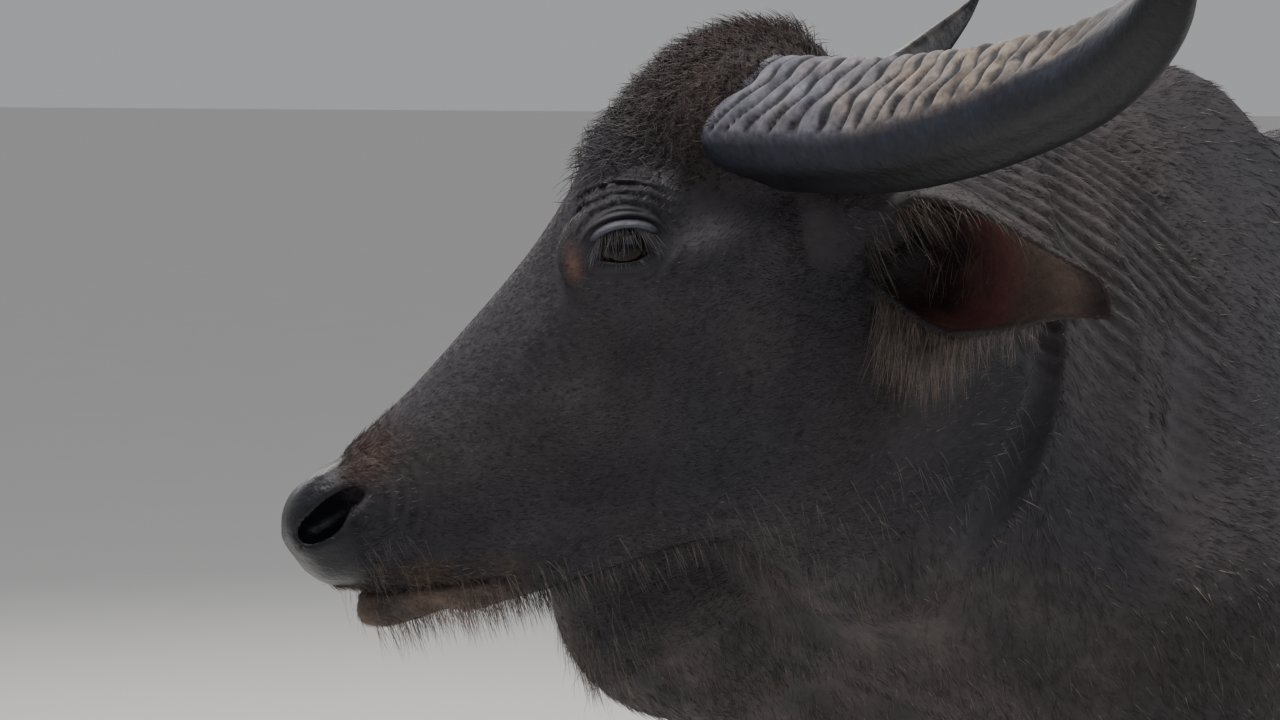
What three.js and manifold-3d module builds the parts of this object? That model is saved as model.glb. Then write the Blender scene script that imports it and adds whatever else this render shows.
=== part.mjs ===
// A life-size standing water buffalo of the swamp type, its head turned to its right.
// Millimetres, +Z up, +X towards the animal's front, +Y towards its left side.
import * as THREE from "three";
import { mergeVertices } from "three/addons/utils/BufferGeometryUtils.js";
import Module from "manifold-3d";

const wasm = await Module();
wasm.setup();

// Driving dimensions
const WITHERS_X = 400;
const WITHERS_HEIGHT = 1290;
const GAP = 0.3;
const HALF_GAP = GAP / 2;

// The head's own frame: its origin in the body's frame and the turn of its forward direction
const HEAD_ORIGIN = [935, -130, 1090];
const HEAD_TURN = THREE.MathUtils.degToRad(-60);
const FACE_TILT = THREE.MathUtils.degToRad(32);

const HIDE_COLOR = 0x3f3a3c;
const HORN_COLOR = 0x4a4a50;
const HOOF_COLOR = 0x2c2a29;
const EYE_COLOR = 0x0c0a0b;

const { abs, cos, sin, min, max, hypot, PI } = Math;

// Numbers and curves

function mix(a, b, t) {
  return a + (b - a) * t;
}

function clamp01(t) {
  return min(max(t, 0), 1);
}

function mixPoint(a, b, t) {
  return [mix(a[0], b[0], t), mix(a[1], b[1], t), mix(a[2], b[2], t)];
}

function add(a, b, scale = 1) {
  return [a[0] + b[0] * scale, a[1] + b[1] * scale, a[2] + b[2] * scale];
}

function unit(a) {
  const length = hypot(...a);
  return [a[0] / length, a[1] / length, a[2] / length];
}

function cross(a, b) {
  return [
    a[1] * b[2] - a[2] * b[1],
    a[2] * b[0] - a[0] * b[2],
    a[0] * b[1] - a[1] * b[0],
  ];
}

function mirrored(point, side) {
  return [point[0], point[1] * side, point[2]];
}

// A smooth curve through (x, value) pairs, level beyond its ends
function profile(points) {
  const slope = points.map((p, i) => {
    const before = points[max(i - 1, 0)];
    const after = points[min(i + 1, points.length - 1)];
    return (after[1] - before[1]) / (after[0] - before[0]);
  });
  return (x) => {
    if (x <= points[0][0]) return points[0][1];
    const last = points.length - 1;
    if (x >= points[last][0]) return points[last][1];
    let i = 0;
    while (x > points[i + 1][0]) i++;
    const [x0, y0] = points[i];
    const [x1, y1] = points[i + 1];
    const width = x1 - x0;
    const t = (x - x0) / width;
    const rise = t * t * (3 - 2 * t);
    const lead = t * (1 - t) * (1 - t) * width * slope[i];
    const trail = t * t * (t - 1) * width * slope[i + 1];
    return mix(y0, y1, rise) + lead + trail;
  };
}

// Signed distance fields, negative inside

function smoothUnion(a, b, k) {
  const h = max(k - abs(a - b), 0) / k;
  return min(a, b) - h * h * k * 0.25;
}

function smoothCut(a, b, k) {
  return -smoothUnion(-a, b, k);
}

function ball(center, radii) {
  return (x, y, z) => {
    const u = (x - center[0]) / radii[0];
    const v = (y - center[1]) / radii[1];
    const w = (z - center[2]) / radii[2];
    const k0 = hypot(u, v, w);
    const k1 = hypot(u / radii[0], v / radii[1], w / radii[2]);
    return k0 < 1e-6 ? -min(...radii) : (k0 * (k0 - 1)) / k1;
  };
}

// A tapered limb from a to b; flat squeezes it along y
function limb(a, b, radiusA, radiusB, flat = 1) {
  const d = [b[0] - a[0], b[1] - a[1], b[2] - a[2]];
  const square = d[0] * d[0] + d[1] * d[1] + d[2] * d[2];
  return (x, y, z) => {
    const u = x - a[0];
    const v = y - a[1];
    const w = z - a[2];
    const t = clamp01((u * d[0] + v * d[1] + w * d[2]) / square);
    const off = hypot(u - t * d[0], (v - t * d[1]) / flat, w - t * d[2]);
    return (off - mix(radiusA, radiusB, t)) * flat;
  };
}

// A length of neck from a to b, each end given as [half width, half height]
function slab(a, b, sizeA, sizeB) {
  const d = [b[0] - a[0], b[1] - a[1], b[2] - a[2]];
  const length = hypot(...d);
  const along = unit(d);
  const side = unit([-along[1], along[0], 0]);
  const up = cross(along, side);
  return (x, y, z) => {
    const q = [x - a[0], y - a[1], z - a[2]];
    const s = q[0] * along[0] + q[1] * along[1] + q[2] * along[2];
    const t = clamp01(s / length);
    const lateral = q[0] * side[0] + q[1] * side[1];
    const upward = abs(q[0] * up[0] + q[1] * up[1] + q[2] * up[2]);
    const past = s - t * length;
    const width = mix(sizeA[0], sizeB[0], t);
    const height = mix(sizeA[1], sizeB[1], t);
    const rho = hypot(lateral / width, upward / height);
    const d0 = (rho - 1) * width;
    return abs(past) < 1e-9 ? d0 : hypot(max(d0, 0), past);
  };
}

// A body lofted along x from its top and bottom lines and half width
function loft({ start, end, top, bottom, half, level, power, narrow }) {
  return (x, y, z) => {
    const s = min(max(x, start), end);
    const high = top(s);
    const low = bottom(s);
    const middle = mix(low, high, level);
    const v = z > middle ? (z - middle) / (high - middle) : (z - middle) / (middle - low);
    const width = half(s) * (1 + (v < 0 ? narrow.below * max(v, -1) : -narrow.above * min(v, 1)));
    const u = abs(y) / width;
    const rho = (u ** power + abs(v) ** power) ** (1 / power);
    const d = (rho - 1) * min(width, (high - low) / 2) * 0.9;
    const past = abs(x - s);
    return past < 1e-9 ? d : hypot(max(d, 0), past);
  };
}

// The trunk: back line, belly line and half width from rump to chest

const trunk = loft({
  start: -775,
  end: 690,
  level: 0.47,
  power: 2.25,
  narrow: { below: 0.12, above: 0.22 },
  top: profile([
    [-775, 1130],
    [-735, 1178],
    [-600, 1236],
    [-430, 1262],
    [-230, 1256],
    [-20, 1240],
    [180, 1248],
    [330, 1283],
    [WITHERS_X, WITHERS_HEIGHT],
    [500, 1262],
    [620, 1180],
    [690, 1060],
  ]),
  bottom: profile([
    [-775, 1010],
    [-720, 880],
    [-600, 760],
    [-450, 690],
    [-300, 628],
    [-100, 560],
    [100, 545],
    [300, 568],
    [450, 596],
    [580, 650],
    [660, 760],
    [690, 900],
  ]),
  half: profile([
    [-775, 70],
    [-735, 135],
    [-600, 205],
    [-430, 250],
    [-250, 300],
    [-60, 348],
    [120, 352],
    [300, 300],
    [420, 262],
    [540, 232],
    [640, 190],
    [690, 120],
  ]),
});

// The neck turns to the right as it nears the head
const NECK_PATH = [
  { at: [430, 0, 990], size: [190, 290] },
  { at: [600, 8, 1010], size: [166, 250] },
  { at: [720, 22, 1045], size: [134, 205] },
  { at: [800, 38, 1085], size: [100, 165] },
  { at: [862, 12, 1118], size: [80, 130] },
];
const neck = NECK_PATH.slice(1).map((end, i) =>
  slab(NECK_PATH[i].at, end.at, NECK_PATH[i].size, end.size),
);

// Legs: landmarks for the left side of the body, mirrored for the right one.
// stride moves the foot forwards of its place under the body.

const FORE = {
  topZ: 560,
  shoulderTop: [415, 66, 1215],
  shoulder: [635, 205, 885],
  elbow: [440, 196, 715],
  knee: [452, 186, 425],
  fetlock: [448, 182, 158],
  coronet: [474, 182, 78],
  strides: { left: -25, right: 95 },
};
const HIND = {
  topZ: 625,
  hip: [-545, 124, 1030],
  pin: [-690, 88, 1045],
  stifle: [-400, 200, 770],
  ham: [-640, 150, 800],
  hock: [-700, 178, 520],
  fetlock: [-684, 176, 160],
  coronet: [-652, 176, 78],
  strides: { left: 45, right: -40 },
};

function moved(point, side, stride) {
  return [point[0] + stride, point[1] * side, point[2]];
}

function foreLeg(side, stride) {
  const elbow = mirrored(FORE.elbow, side);
  const knee = moved(FORE.knee, side, stride * 0.55);
  const fetlock = moved(FORE.fetlock, side, stride);
  const coronet = moved(FORE.coronet, side, stride);
  const shoulder = moved(FORE.shoulder, side, stride * 0.25);
  return {
    muscles: [
      limb(mirrored(FORE.shoulderTop, side), shoulder, 62, 92, 0.8),
      limb(shoulder, elbow, 98, 92, 0.75),
    ],
    bones: [
      limb(elbow, mixPoint(elbow, knee, 0.72), 88, 50, 0.78),
      limb(mixPoint(elbow, knee, 0.72), knee, 50, 52, 0.88),
      limb(knee, mixPoint(knee, fetlock, 0.22), 53, 37, 0.92),
      limb(mixPoint(knee, fetlock, 0.22), mixPoint(knee, fetlock, 0.85), 36, 35, 0.92),
      limb(mixPoint(knee, fetlock, 0.9), fetlock, 38, 47, 0.95),
      limb(fetlock, coronet, 44, 54, 1),
    ],
    path: [add(elbow, [0, 0, 0]), knee, fetlock, coronet],
  };
}

function hindLeg(side, stride) {
  const stifle = moved(HIND.stifle, side, stride * 0.3);
  const ham = mirrored(HIND.ham, side);
  const hock = moved(HIND.hock, side, stride * 0.7);
  const fetlock = moved(HIND.fetlock, side, stride);
  const coronet = moved(HIND.coronet, side, stride);
  const calf = mixPoint(stifle, hock, 0.35);
  return {
    muscles: [
      limb(mirrored(HIND.hip, side), stifle, 165, 106, 0.72),
      limb(mirrored(HIND.pin, side), ham, 92, 96, 0.8),
      limb(ham, mixPoint(calf, hock, 0.55), 96, 50, 0.72),
    ],
    bones: [
      limb(stifle, mixPoint(stifle, hock, 0.72), 108, 56, 0.68),
      limb(mixPoint(stifle, hock, 0.72), hock, 54, 56, 0.72),
      limb(add(hock, [-34, 0, 38]), add(hock, [-14, 0, -30]), 30, 34, 0.8),
      limb(hock, mixPoint(hock, fetlock, 0.25), 52, 40, 0.8),
      limb(mixPoint(hock, fetlock, 0.25), mixPoint(hock, fetlock, 0.85), 38, 36, 0.9),
      limb(mixPoint(hock, fetlock, 0.9), fetlock, 39, 47, 0.95),
      limb(fetlock, coronet, 44, 53, 1),
    ],
    path: [mixPoint(stifle, hock, 0.2), hock, fetlock, coronet],
  };
}

const SIDES = { left: 1, right: -1 };
const legs = {};
for (const [name, side] of Object.entries(SIDES)) {
  legs[`foreleg_${name}`] = { ...foreLeg(side, FORE.strides[name]), topZ: FORE.topZ };
  legs[`hindleg_${name}`] = { ...hindLeg(side, HIND.strides[name]), topZ: HIND.topZ };
}

const bumps = [];
for (const side of Object.values(SIDES)) {
  bumps.push(ball([-425, 190 * side, 1176], [70, 48, 48]));
  bumps.push(ball([-735, 92 * side, 1108], [48, 46, 50]));
  bumps.push(ball([685, 105 * side, 835], [95, 105, 135]));
}
bumps.push(ball([660, 0, 725], [115, 110, 95]));
bumps.push(ball([788, -178, 915], [103, 103, 112]));
bumps.push(ball([-478, 0, 676], [118, 104, 62]));

// The head, in its own frame of s along the face, y to its left and t up from the face's axis

const skull = loft({
  start: -212,
  end: 284,
  level: 0.55,
  power: 2.5,
  narrow: { below: 0.3, above: 0.16 },
  top: profile([
    [-212, 128],
    [-170, 160],
    [-120, 171],
    [-60, 158],
    [-15, 132],
    [30, 112],
    [100, 90],
    [160, 73],
    [222, 60],
    [262, 50],
    [284, 30],
  ]),
  bottom: profile([
    [-212, -100],
    [-150, -132],
    [-80, -150],
    [0, -138],
    [80, -120],
    [140, -103],
    [180, -84],
    [235, -60],
    [262, -24],
    [284, 0],
  ]),
  half: profile([
    [-212, 84],
    [-150, 90],
    [-60, 92],
    [0, 84],
    [70, 68],
    [130, 57],
    [190, 54],
    [240, 57],
    [268, 46],
    [284, 26],
  ]),
});

const headParts = [[skull, 1]];
for (const side of Object.values(SIDES)) {
  headParts.push([ball([-38, 77 * side, 86], [50, 28, 36]), 22]);
  headParts.push([limb([0, 76 * side, 52], [-130, 82 * side, 36], 17, 22), 24]);
  headParts.push([ball([-78, 56 * side, -62], [86, 34, 84]), 26]);
  headParts.push([ball([-166, 74 * side, 104], [56, 36, 54]), 24]);
  headParts.push([limb([-190, 66 * side, 18], [-205, 96 * side, 14], 40, 36), 20]);
  headParts.push([limb([185, 26 * side, -62], [-95, 56 * side, -122], 22, 32), 22]);
  headParts.push([ball([236, 36 * side, 24], [42, 26, 34]), 16]);
}
headParts.push([ball([-160, 0, 108], [74, 84, 64]), 24]);
headParts.push([ball([250, 0, -2], [34, 50, 26]), 14]);
headParts.push([ball([226, 0, -58], [42, 38, 25]), 12]);
headParts.push([ball([256, 0, 26], [31, 44, 30]), 14]);
headParts.push([ball([-130, 0, -84], [90, 62, 62]), 40]);

const headHollows = [];
for (const side of Object.values(SIDES)) {
  headHollows.push([ball([-106, 112 * side, 88], [44, 22, 30]), 16]);
  headHollows.push([ball([28, 106 * side, 36], [60, 34, 30]), 26]);
  headHollows.push([ball([-38, 113 * side, 82], [31, 19, 17]), 9]);
}

function headFlesh(s, y, t) {
  let d = 1e9;
  for (const [part, k] of headParts) d = smoothUnion(d, part(s, y, t), k);
  for (const [part, k] of headHollows) d = smoothCut(d, part(s, y, t), k);
  return d;
}

// Between the body's frame, the head's level frame (forward, left, up) and the face's frame

const forward = [cos(HEAD_TURN), sin(HEAD_TURN), 0];
const leftward = [-forward[1], forward[0], 0];

function fromLevel(point) {
  const p = add(add(HEAD_ORIGIN, forward, point[0]), leftward, point[1]);
  return [p[0], p[1], p[2] + point[2]];
}

function levelOf([s, y, t]) {
  return [
    s * cos(FACE_TILT) + t * sin(FACE_TILT),
    y,
    -s * sin(FACE_TILT) + t * cos(FACE_TILT),
  ];
}

function fromFace(point) {
  return fromLevel(levelOf(point));
}

function headField(x, y, z) {
  const dx = x - HEAD_ORIGIN[0];
  const dy = y - HEAD_ORIGIN[1];
  const ahead = dx * forward[0] + dy * forward[1];
  const left = dx * leftward[0] + dy * leftward[1];
  const up = z - HEAD_ORIGIN[2];
  const s = ahead * cos(FACE_TILT) - up * sin(FACE_TILT);
  const t = ahead * sin(FACE_TILT) + up * cos(FACE_TILT);
  return headFlesh(s, left, t);
}

// The flesh of the body without the head, and of the whole

function bodyField(x, y, z) {
  let d = trunk(x, y, z);
  for (const part of bumps) d = smoothUnion(d, part(x, y, z), 60);
  for (const part of neck) d = smoothUnion(d, part(x, y, z), 70);
  for (const leg of Object.values(legs)) {
    let limbs = 1e9;
    for (const part of leg.muscles) limbs = smoothUnion(limbs, part(x, y, z), 50);
    for (const part of leg.bones) limbs = smoothUnion(limbs, part(x, y, z), 22);
    d = smoothUnion(d, limbs, 45);
  }
  return d;
}

function flesh(x, y, z) {
  return smoothUnion(bodyField(x, y, z), headField(x, y, z), 40);
}

// Solids from triangles

function solid(positions, triangles) {
  const mesh = new wasm.Mesh({
    numProp: 3,
    vertProperties: new Float32Array(positions.flat()),
    triVerts: new Uint32Array(triangles.flat()),
  });
  const made = new wasm.Manifold(mesh);
  return made.volume() < 0 ? solid(positions, triangles.map(([a, b, c]) => [a, c, b])) : made;
}

function solidOfGeometry(geometry) {
  const plain = geometry.clone();
  plain.deleteAttribute("normal");
  plain.deleteAttribute("uv");
  const merged = mergeVertices(plain, 1e-3);
  const mesh = new wasm.Mesh({
    numProp: 3,
    vertProperties: merged.attributes.position.array,
    triVerts: new Uint32Array(merged.index.array),
  });
  return new wasm.Manifold(mesh);
}

function largest(manifold) {
  return manifold.decompose().reduce((a, b) => (b.volume() > a.volume() ? b : a));
}

function fuse(solids) {
  return largest(solids.reduce((a, b) => a.add(b)));
}

// Rings of points joined into a closed skin; a ring of one point is a pole
function skinOver(rings) {
  const positions = [];
  const starts = [];
  const pole = (ring) => {
    if (ring.length === 1) return [];
    return [[ring.reduce((a, b) => add(a, b)).map((v) => v / ring.length)]];
  };
  const closed = [...pole(rings[0]), ...rings, ...pole(rings[rings.length - 1])];
  for (const ring of closed) {
    starts.push(positions.length);
    positions.push(...ring);
  }
  const triangles = [];
  for (let i = 0; i + 1 < closed.length; i++) {
    const count = max(closed[i].length, closed[i + 1].length);
    for (let j = 0; j < count; j++) {
      const next = (j + 1) % count;
      const low = closed[i].length === 1 ? [0, 0] : [j, next];
      const high = closed[i + 1].length === 1 ? [0, 0] : [j, next];
      const a = starts[i] + low[0];
      const b = starts[i] + low[1];
      const c = starts[i + 1] + high[1];
      const d = starts[i + 1] + high[0];
      if (a !== b) triangles.push([a, b, c]);
      if (c !== d) triangles.push([a, c, d]);
    }
  }
  return solid(positions, triangles);
}

// The distance along a ray from inside the field to its surface
function reach(field, from, direction, limit, level = 0) {
  const step = 7;
  let far = step;
  const at = (d) => field(...add(from, direction, d)) - level;
  while (far < limit && at(far) < 0) far += step;
  if (far >= limit) return limit;
  let near = far - step;
  for (let i = 0; i < 14; i++) {
    const half = (near + far) / 2;
    if (at(half) < 0) near = half;
    else far = half;
  }
  return far;
}

// Rays round a centre: up and side span the ring, lean turns the rays towards along
function castRing(field, { center, up, side, along, lean = 0, limit = 400 }, segments, level = 0) {
  return Array.from({ length: segments }, (_, j) => {
    const angle = (2 * PI * j) / segments;
    const flat = add(up.map((v) => v * cos(angle)), side, sin(angle));
    const direction = add(flat.map((v) => v * cos(lean)), along, sin(lean));
    return add(center, direction, reach(field, center, direction, limit, level));
  });
}

// Fills the corners of a grid where solid cells would touch only along an edge or at a point
function fillPinches(values, counts, index) {
  const pairs = [
    [1, 1, 0],
    [1, 0, 1],
    [0, 1, 1],
    [1, 1, 1],
  ];
  let changed = true;
  while (changed) {
    changed = false;
    for (let k = 0; k + 1 < counts[2]; k++)
      for (let j = 0; j + 1 < counts[1]; j++)
        for (let i = 0; i + 1 < counts[0]; i++)
          for (const [p, q, r] of pairs) {
            const corners = [];
            for (let c = 0; c < 8; c++) {
              const at = [c & 1, (c >> 1) & 1, c >> 2];
              if (at[0] > p || at[1] > q || at[2] > r) continue;
              corners.push({ at, place: index(i + at[0], j + at[1], k + at[2]) });
            }
            const isIn = corners.map(({ place }) => values[place] < 0);
            const last = corners.length - 1;
            const ambiguous = corners.some((_, c) => {
              const others = isIn.filter((_, n) => n !== c && n !== last - c);
              return isIn[c] === isIn[last - c] && others.every((v) => v !== isIn[c]);
            });
            if (!ambiguous) continue;
            for (const { place } of corners) if (values[place] >= 0) values[place] = -1;
            changed = true;
          }
  }
}

// A closed mesh of the field's surface on a grid of cells inside box
function netOver(field, low, high, cell) {
  const counts = [0, 1, 2].map((i) => Math.ceil((high[i] - low[i]) / cell) + 1);
  const index = (i, j, k) => (k * counts[1] + j) * counts[0] + i;
  const values = new Float64Array(counts[0] * counts[1] * counts[2]);
  const pointOf = (i, j, k) => [low[0] + i * cell, low[1] + j * cell, low[2] + k * cell];
  for (let k = 0; k < counts[2]; k++)
    for (let j = 0; j < counts[1]; j++)
      for (let i = 0; i < counts[0]; i++) values[index(i, j, k)] = field(...pointOf(i, j, k));
  fillPinches(values, counts, index);
  const vertexOf = new Map();
  const positions = [];
  const corners = [0, 1, 2, 3, 4, 5, 6, 7].map((c) => [c & 1, (c >> 1) & 1, c >> 2]);
  for (let k = 0; k + 1 < counts[2]; k++)
    for (let j = 0; j + 1 < counts[1]; j++)
      for (let i = 0; i + 1 < counts[0]; i++) {
        const crossing = [0, 0, 0];
        let crossings = 0;
        for (let a = 0; a < 8; a++)
          for (let axis = 0; axis < 3; axis++) {
            if (corners[a][axis]) continue;
            const b = a | (1 << axis);
            const va = values[index(i + corners[a][0], j + corners[a][1], k + corners[a][2])];
            const vb = values[index(i + corners[b][0], j + corners[b][1], k + corners[b][2])];
            if (va < 0 === vb < 0) continue;
            const share = va / (va - vb);
            for (let n = 0; n < 3; n++) crossing[n] += corners[a][n] + (n === axis ? share : 0);
            crossings++;
          }
        if (!crossings) continue;
        vertexOf.set(index(i, j, k), positions.length);
        positions.push(add(pointOf(i, j, k), crossing, cell / crossings));
      }
  const triangles = [];
  for (let k = 1; k + 1 < counts[2]; k++)
    for (let j = 1; j + 1 < counts[1]; j++)
      for (let i = 1; i + 1 < counts[0]; i++)
        for (let axis = 0; axis < 3; axis++) {
          const step = [0, 0, 0];
          step[axis] = 1;
          const inside = values[index(i, j, k)] < 0;
          if (inside === values[index(i + step[0], j + step[1], k + step[2])] < 0) continue;
          const b = (axis + 1) % 3;
          const c = (axis + 2) % 3;
          const quad = [
            [0, 0],
            [1, 0],
            [1, 1],
            [0, 1],
          ].map(([u, v]) => {
            const cellAt = [i, j, k];
            cellAt[b] -= u;
            cellAt[c] -= v;
            return vertexOf.get(index(...cellAt));
          });
          if (!inside) quad.reverse();
          triangles.push([quad[0], quad[1], quad[2]], [quad[0], quad[2], quad[3]]);
        }
  return solid(positions.map((p) => onSurface(field, p)), triangles);
}

// Moves a point near the field's surface onto it
function onSurface(field, point) {
  const h = 0.5;
  let p = point;
  for (let i = 0; i < 3; i++) {
    const d = field(...p);
    const gradient = [0, 1, 2].map((axis) => {
      const probe = [...p];
      probe[axis] += h;
      return (field(...probe) - d) / h;
    });
    const square = gradient.reduce((sum, g) => sum + g * g, 0);
    if (square < 0.05) return p;
    p = add(p, gradient, (-d * 0.8) / square);
  }
  return p;
}

// Parting planes: a point and the direction that the cut faces

const NECK_TILT = THREE.MathUtils.degToRad(45);
const NECK_BASE = { at: [715, 0, 960], facing: [cos(NECK_TILT), 0, sin(NECK_TILT)] };

const CUT_TURN = THREE.MathUtils.degToRad(-28);
const HEAD_CUT = { at: [795, 70, 1130], facing: [cos(CUT_TURN), sin(CUT_TURN), 0] };
const CHEST_CUT = { at: [820, -60, 884], facing: [0, 0, 1] };

function aheadOf({ at, facing }, x, y, z) {
  return (x - at[0]) * facing[0] + (y - at[1]) * facing[1] + (z - at[2]) * facing[2];
}

// The space past a plane (or before it), from a little way along its facing
function halfSpace({ at, facing }, offset, side = 1) {
  const size = 3000;
  const box = new THREE.BoxGeometry(size, size, size);
  box.translate(0, 0, (side * size) / 2);
  const turn = new THREE.Quaternion().setFromUnitVectors(
    new THREE.Vector3(0, 0, 1),
    new THREE.Vector3(...facing),
  );
  box.applyQuaternion(turn);
  box.translate(...add(at, facing, offset));
  return solidOfGeometry(box);
}

function legBox(topZ, fromX, toX) {
  const depth = 600;
  const box = new THREE.BoxGeometry(toX - fromX, 1200, depth);
  box.translate((fromX + toX) / 2, 0, topZ - depth / 2);
  return solidOfGeometry(box);
}

// Torso

const FLANK_X = -120;
const TORSO_CELL = 55;

function torsoField(x, y, z) {
  const past = 55;
  const floor = x > FLANK_X ? FORE.topZ : HIND.topZ;
  const outside = min(aheadOf(NECK_BASE, x, y, z), aheadOf(CHEST_CUT, x, y, z));
  return max(bodyField(x, y, z), outside - past, floor - past - z);
}

function torso() {
  const whole = netOver(torsoField, [-875, -475, 440], [1000, 475, 1380], TORSO_CELL);
  return largest(
    whole
      .subtract(halfSpace(NECK_BASE, -HALF_GAP).intersect(halfSpace(CHEST_CUT, -HALF_GAP)))
      .subtract(legBox(FORE.topZ + HALF_GAP, 300, 900))
      .subtract(legBox(HIND.topZ + HALF_GAP, -1000, -330)),
  );
}

// Neck: from the torso's cut to the head's

const NECK_CELL = 34;

function neckSolid(level) {
  const past = 42;
  const field = (x, y, z) =>
    max(
      flesh(x, y, z) - level,
      -past - aheadOf(NECK_BASE, x, y, z),
      -past - aheadOf(CHEST_CUT, x, y, z),
      aheadOf(HEAD_CUT, x, y, z) - past,
    );
  const whole = netOver(field, [180, -400, 640], [1060, 420, 1420], NECK_CELL);
  return largest(
    whole
      .subtract(halfSpace(NECK_BASE, HALF_GAP, -1))
      .subtract(halfSpace(CHEST_CUT, HALF_GAP, -1))
      .subtract(halfSpace(HEAD_CUT, -HALF_GAP)),
  );
}

// Head: from the neck's cut to the muzzle

const HEAD_CELL = 30.5;

function headSolid(level) {
  const past = 25;
  const field = (x, y, z) =>
    max(
      flesh(x, y, z) - level,
      -past - aheadOf(HEAD_CUT, x, y, z),
      -past - aheadOf(NECK_BASE, x, y, z),
      -past - aheadOf(CHEST_CUT, x, y, z),
    );
  const low = add(HEAD_ORIGIN, [-400, -400, -330]);
  const high = add(HEAD_ORIGIN, [330, 400, 330]);
  const whole = netOver(field, low, high, HEAD_CELL);
  const offset = HALF_GAP - 2 * level;
  return largest(
    [HEAD_CUT, NECK_BASE, CHEST_CUT].reduce(
      (made, cut) => made.subtract(halfSpace(cut, offset, -1)),
      whole,
    ),
  );
}

const EYE = { at: [-38.5, 84, 81.5], radius: 22 };

function sphere(center, radius, around = 16, up = 10) {
  const geometry = new THREE.SphereGeometry(radius, around, up);
  geometry.translate(...center);
  return solidOfGeometry(geometry);
}

// An ellipsoid set in the face's frame, turned about the face's up direction
function faceBall(center, radii, turn = 0, around = 16) {
  const geometry = new THREE.SphereGeometry(1, around, around - 4);
  const position = geometry.attributes.position;
  for (let i = 0; i < position.count; i++) {
    const s = position.getX(i) * radii[0];
    const y = position.getY(i) * radii[1];
    const t = position.getZ(i) * radii[2];
    const turned = [s * cos(turn) - y * sin(turn), s * sin(turn) + y * cos(turn), t];
    position.setXYZ(i, ...fromFace(add(center, turned)));
  }
  return solidOfGeometry(geometry);
}

// A tube of few sides along a path with a radius for each point
function tube(path, radii, sides = 6) {
  const rings = path.map((p, i) => {
    const before = path[max(i - 1, 0)];
    const after = path[min(i + 1, path.length - 1)];
    const along = unit(add(after, before, -1));
    const helper = abs(along[2]) > 0.9 ? [1, 0, 0] : [0, 0, 1];
    const side = unit(cross(helper, along));
    const up = cross(along, side);
    return Array.from({ length: sides }, (_, j) => {
      const angle = (2 * PI * j) / sides;
      return add(add(p, side, radii[i] * cos(angle)), up, radii[i] * sin(angle));
    });
  });
  return skinOver(rings);
}

// One eyelid: an arc over the eyeball, above it or below it
function lid(side, above) {
  const count = 9;
  const half = 25;
  const rise = above ? 14 : -12;
  const thick = above ? 6.5 : 4.5;
  const path = [];
  const radii = [];
  for (let i = 0; i < count; i++) {
    const t = (2 * i) / (count - 1) - 1;
    const along = half * t;
    const up = rise * (1 - t * t);
    const out = Math.sqrt(max((EYE.radius + 1.5) ** 2 - (along * 0.72) ** 2 - up * up, 0)) - 3;
    path.push(fromFace(add(mirrored(EYE.at, side), [along, out * side, up])));
    radii.push(thick * (0.55 + 0.45 * (1 - t * t)));
  }
  return tube(path, radii, 6);
}

// The wedge that cuts the line of the mouth round the front of the jaw
function mouthWedge() {
  const count = 23;
  const open = THREE.MathUtils.degToRad(148);
  const center = fromFace([200, 0, -59]);
  const slope = [0.91, 0, 0.414];
  const origin = fromFace([0, 0, 0]);
  const ahead = unit(add(fromFace(slope), origin, -1));
  const up = cross(ahead, leftward);
  const rings = Array.from({ length: count }, (_, i) => {
    const t = (2 * i) / (count - 1) - 1;
    const direction = add(ahead.map((v) => v * cos(open * t)), leftward, sin(open * t));
    const distance = reach(flesh, center, direction, 200);
    const depth = mix(9, -2.5, t ** 6);
    const inner = add(center, direction, distance - depth);
    const outer = add(center, direction, distance + 5);
    const half = 3.2;
    return [inner, add(outer, up, half), add(outer, up, -half)];
  });
  return skinOver(rings);
}

// A flat lock that bends from its root towards its tip
function lock(root, direction, bend, across, length, width, thick) {
  const rows = 4;
  const side = unit(across);
  const rings = [];
  for (let i = 0; i < rows; i++) {
    const t = i / rows;
    const along = unit(add(direction, bend, t));
    const flat = unit(cross(along, side));
    const center = add(add(root, direction, length * t), bend, length * t * t * 0.5);
    const half = (width / 2) * (1 - t) ** 0.6 * (t < 0.1 ? 0.8 : 1);
    const deep = (thick / 2) * (1 - 0.6 * t);
    rings.push([
      add(center, side, half),
      add(center, flat, deep),
      add(center, side, -half),
      add(center, flat, -deep),
    ]);
  }
  rings.push([add(add(root, direction, length), bend, length * 0.5)]);
  return skinOver(rings);
}

// Seeded numbers between -1 and 1
function seeded(seed) {
  let state = seed;
  return () => {
    state = (state * 16807) % 2147483647;
    return (2 * state) / 2147483647 - 1;
  };
}

function pollTuft() {
  const random = seeded(11);
  const locks = [];
  for (let row = 0; row < 5; row++)
    for (let place = 0; place < 3; place++) {
      const across = (place - 1) * 21 + (row % 2) * 8 - 4 + random() * 3;
      const center = fromLevel([-70 - row * 22 + random() * 3, across, 100]);
      const root = add(center, [0, 0, 1], reach(flesh, center, [0, 0, 1], 200) - 10);
      const lean = add(forward.map((v) => v * (0.35 - row * 0.2)), leftward, random() * 0.25);
      const direction = unit(add(lean, [0, 0, 1]));
      const bend = add(forward, leftward, random() * 0.5).map((v) => v * -0.35);
      locks.push(lock(root, direction, bend, leftward, 24 + random() * 4, 21, 9));
    }
  return locks;
}

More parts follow.
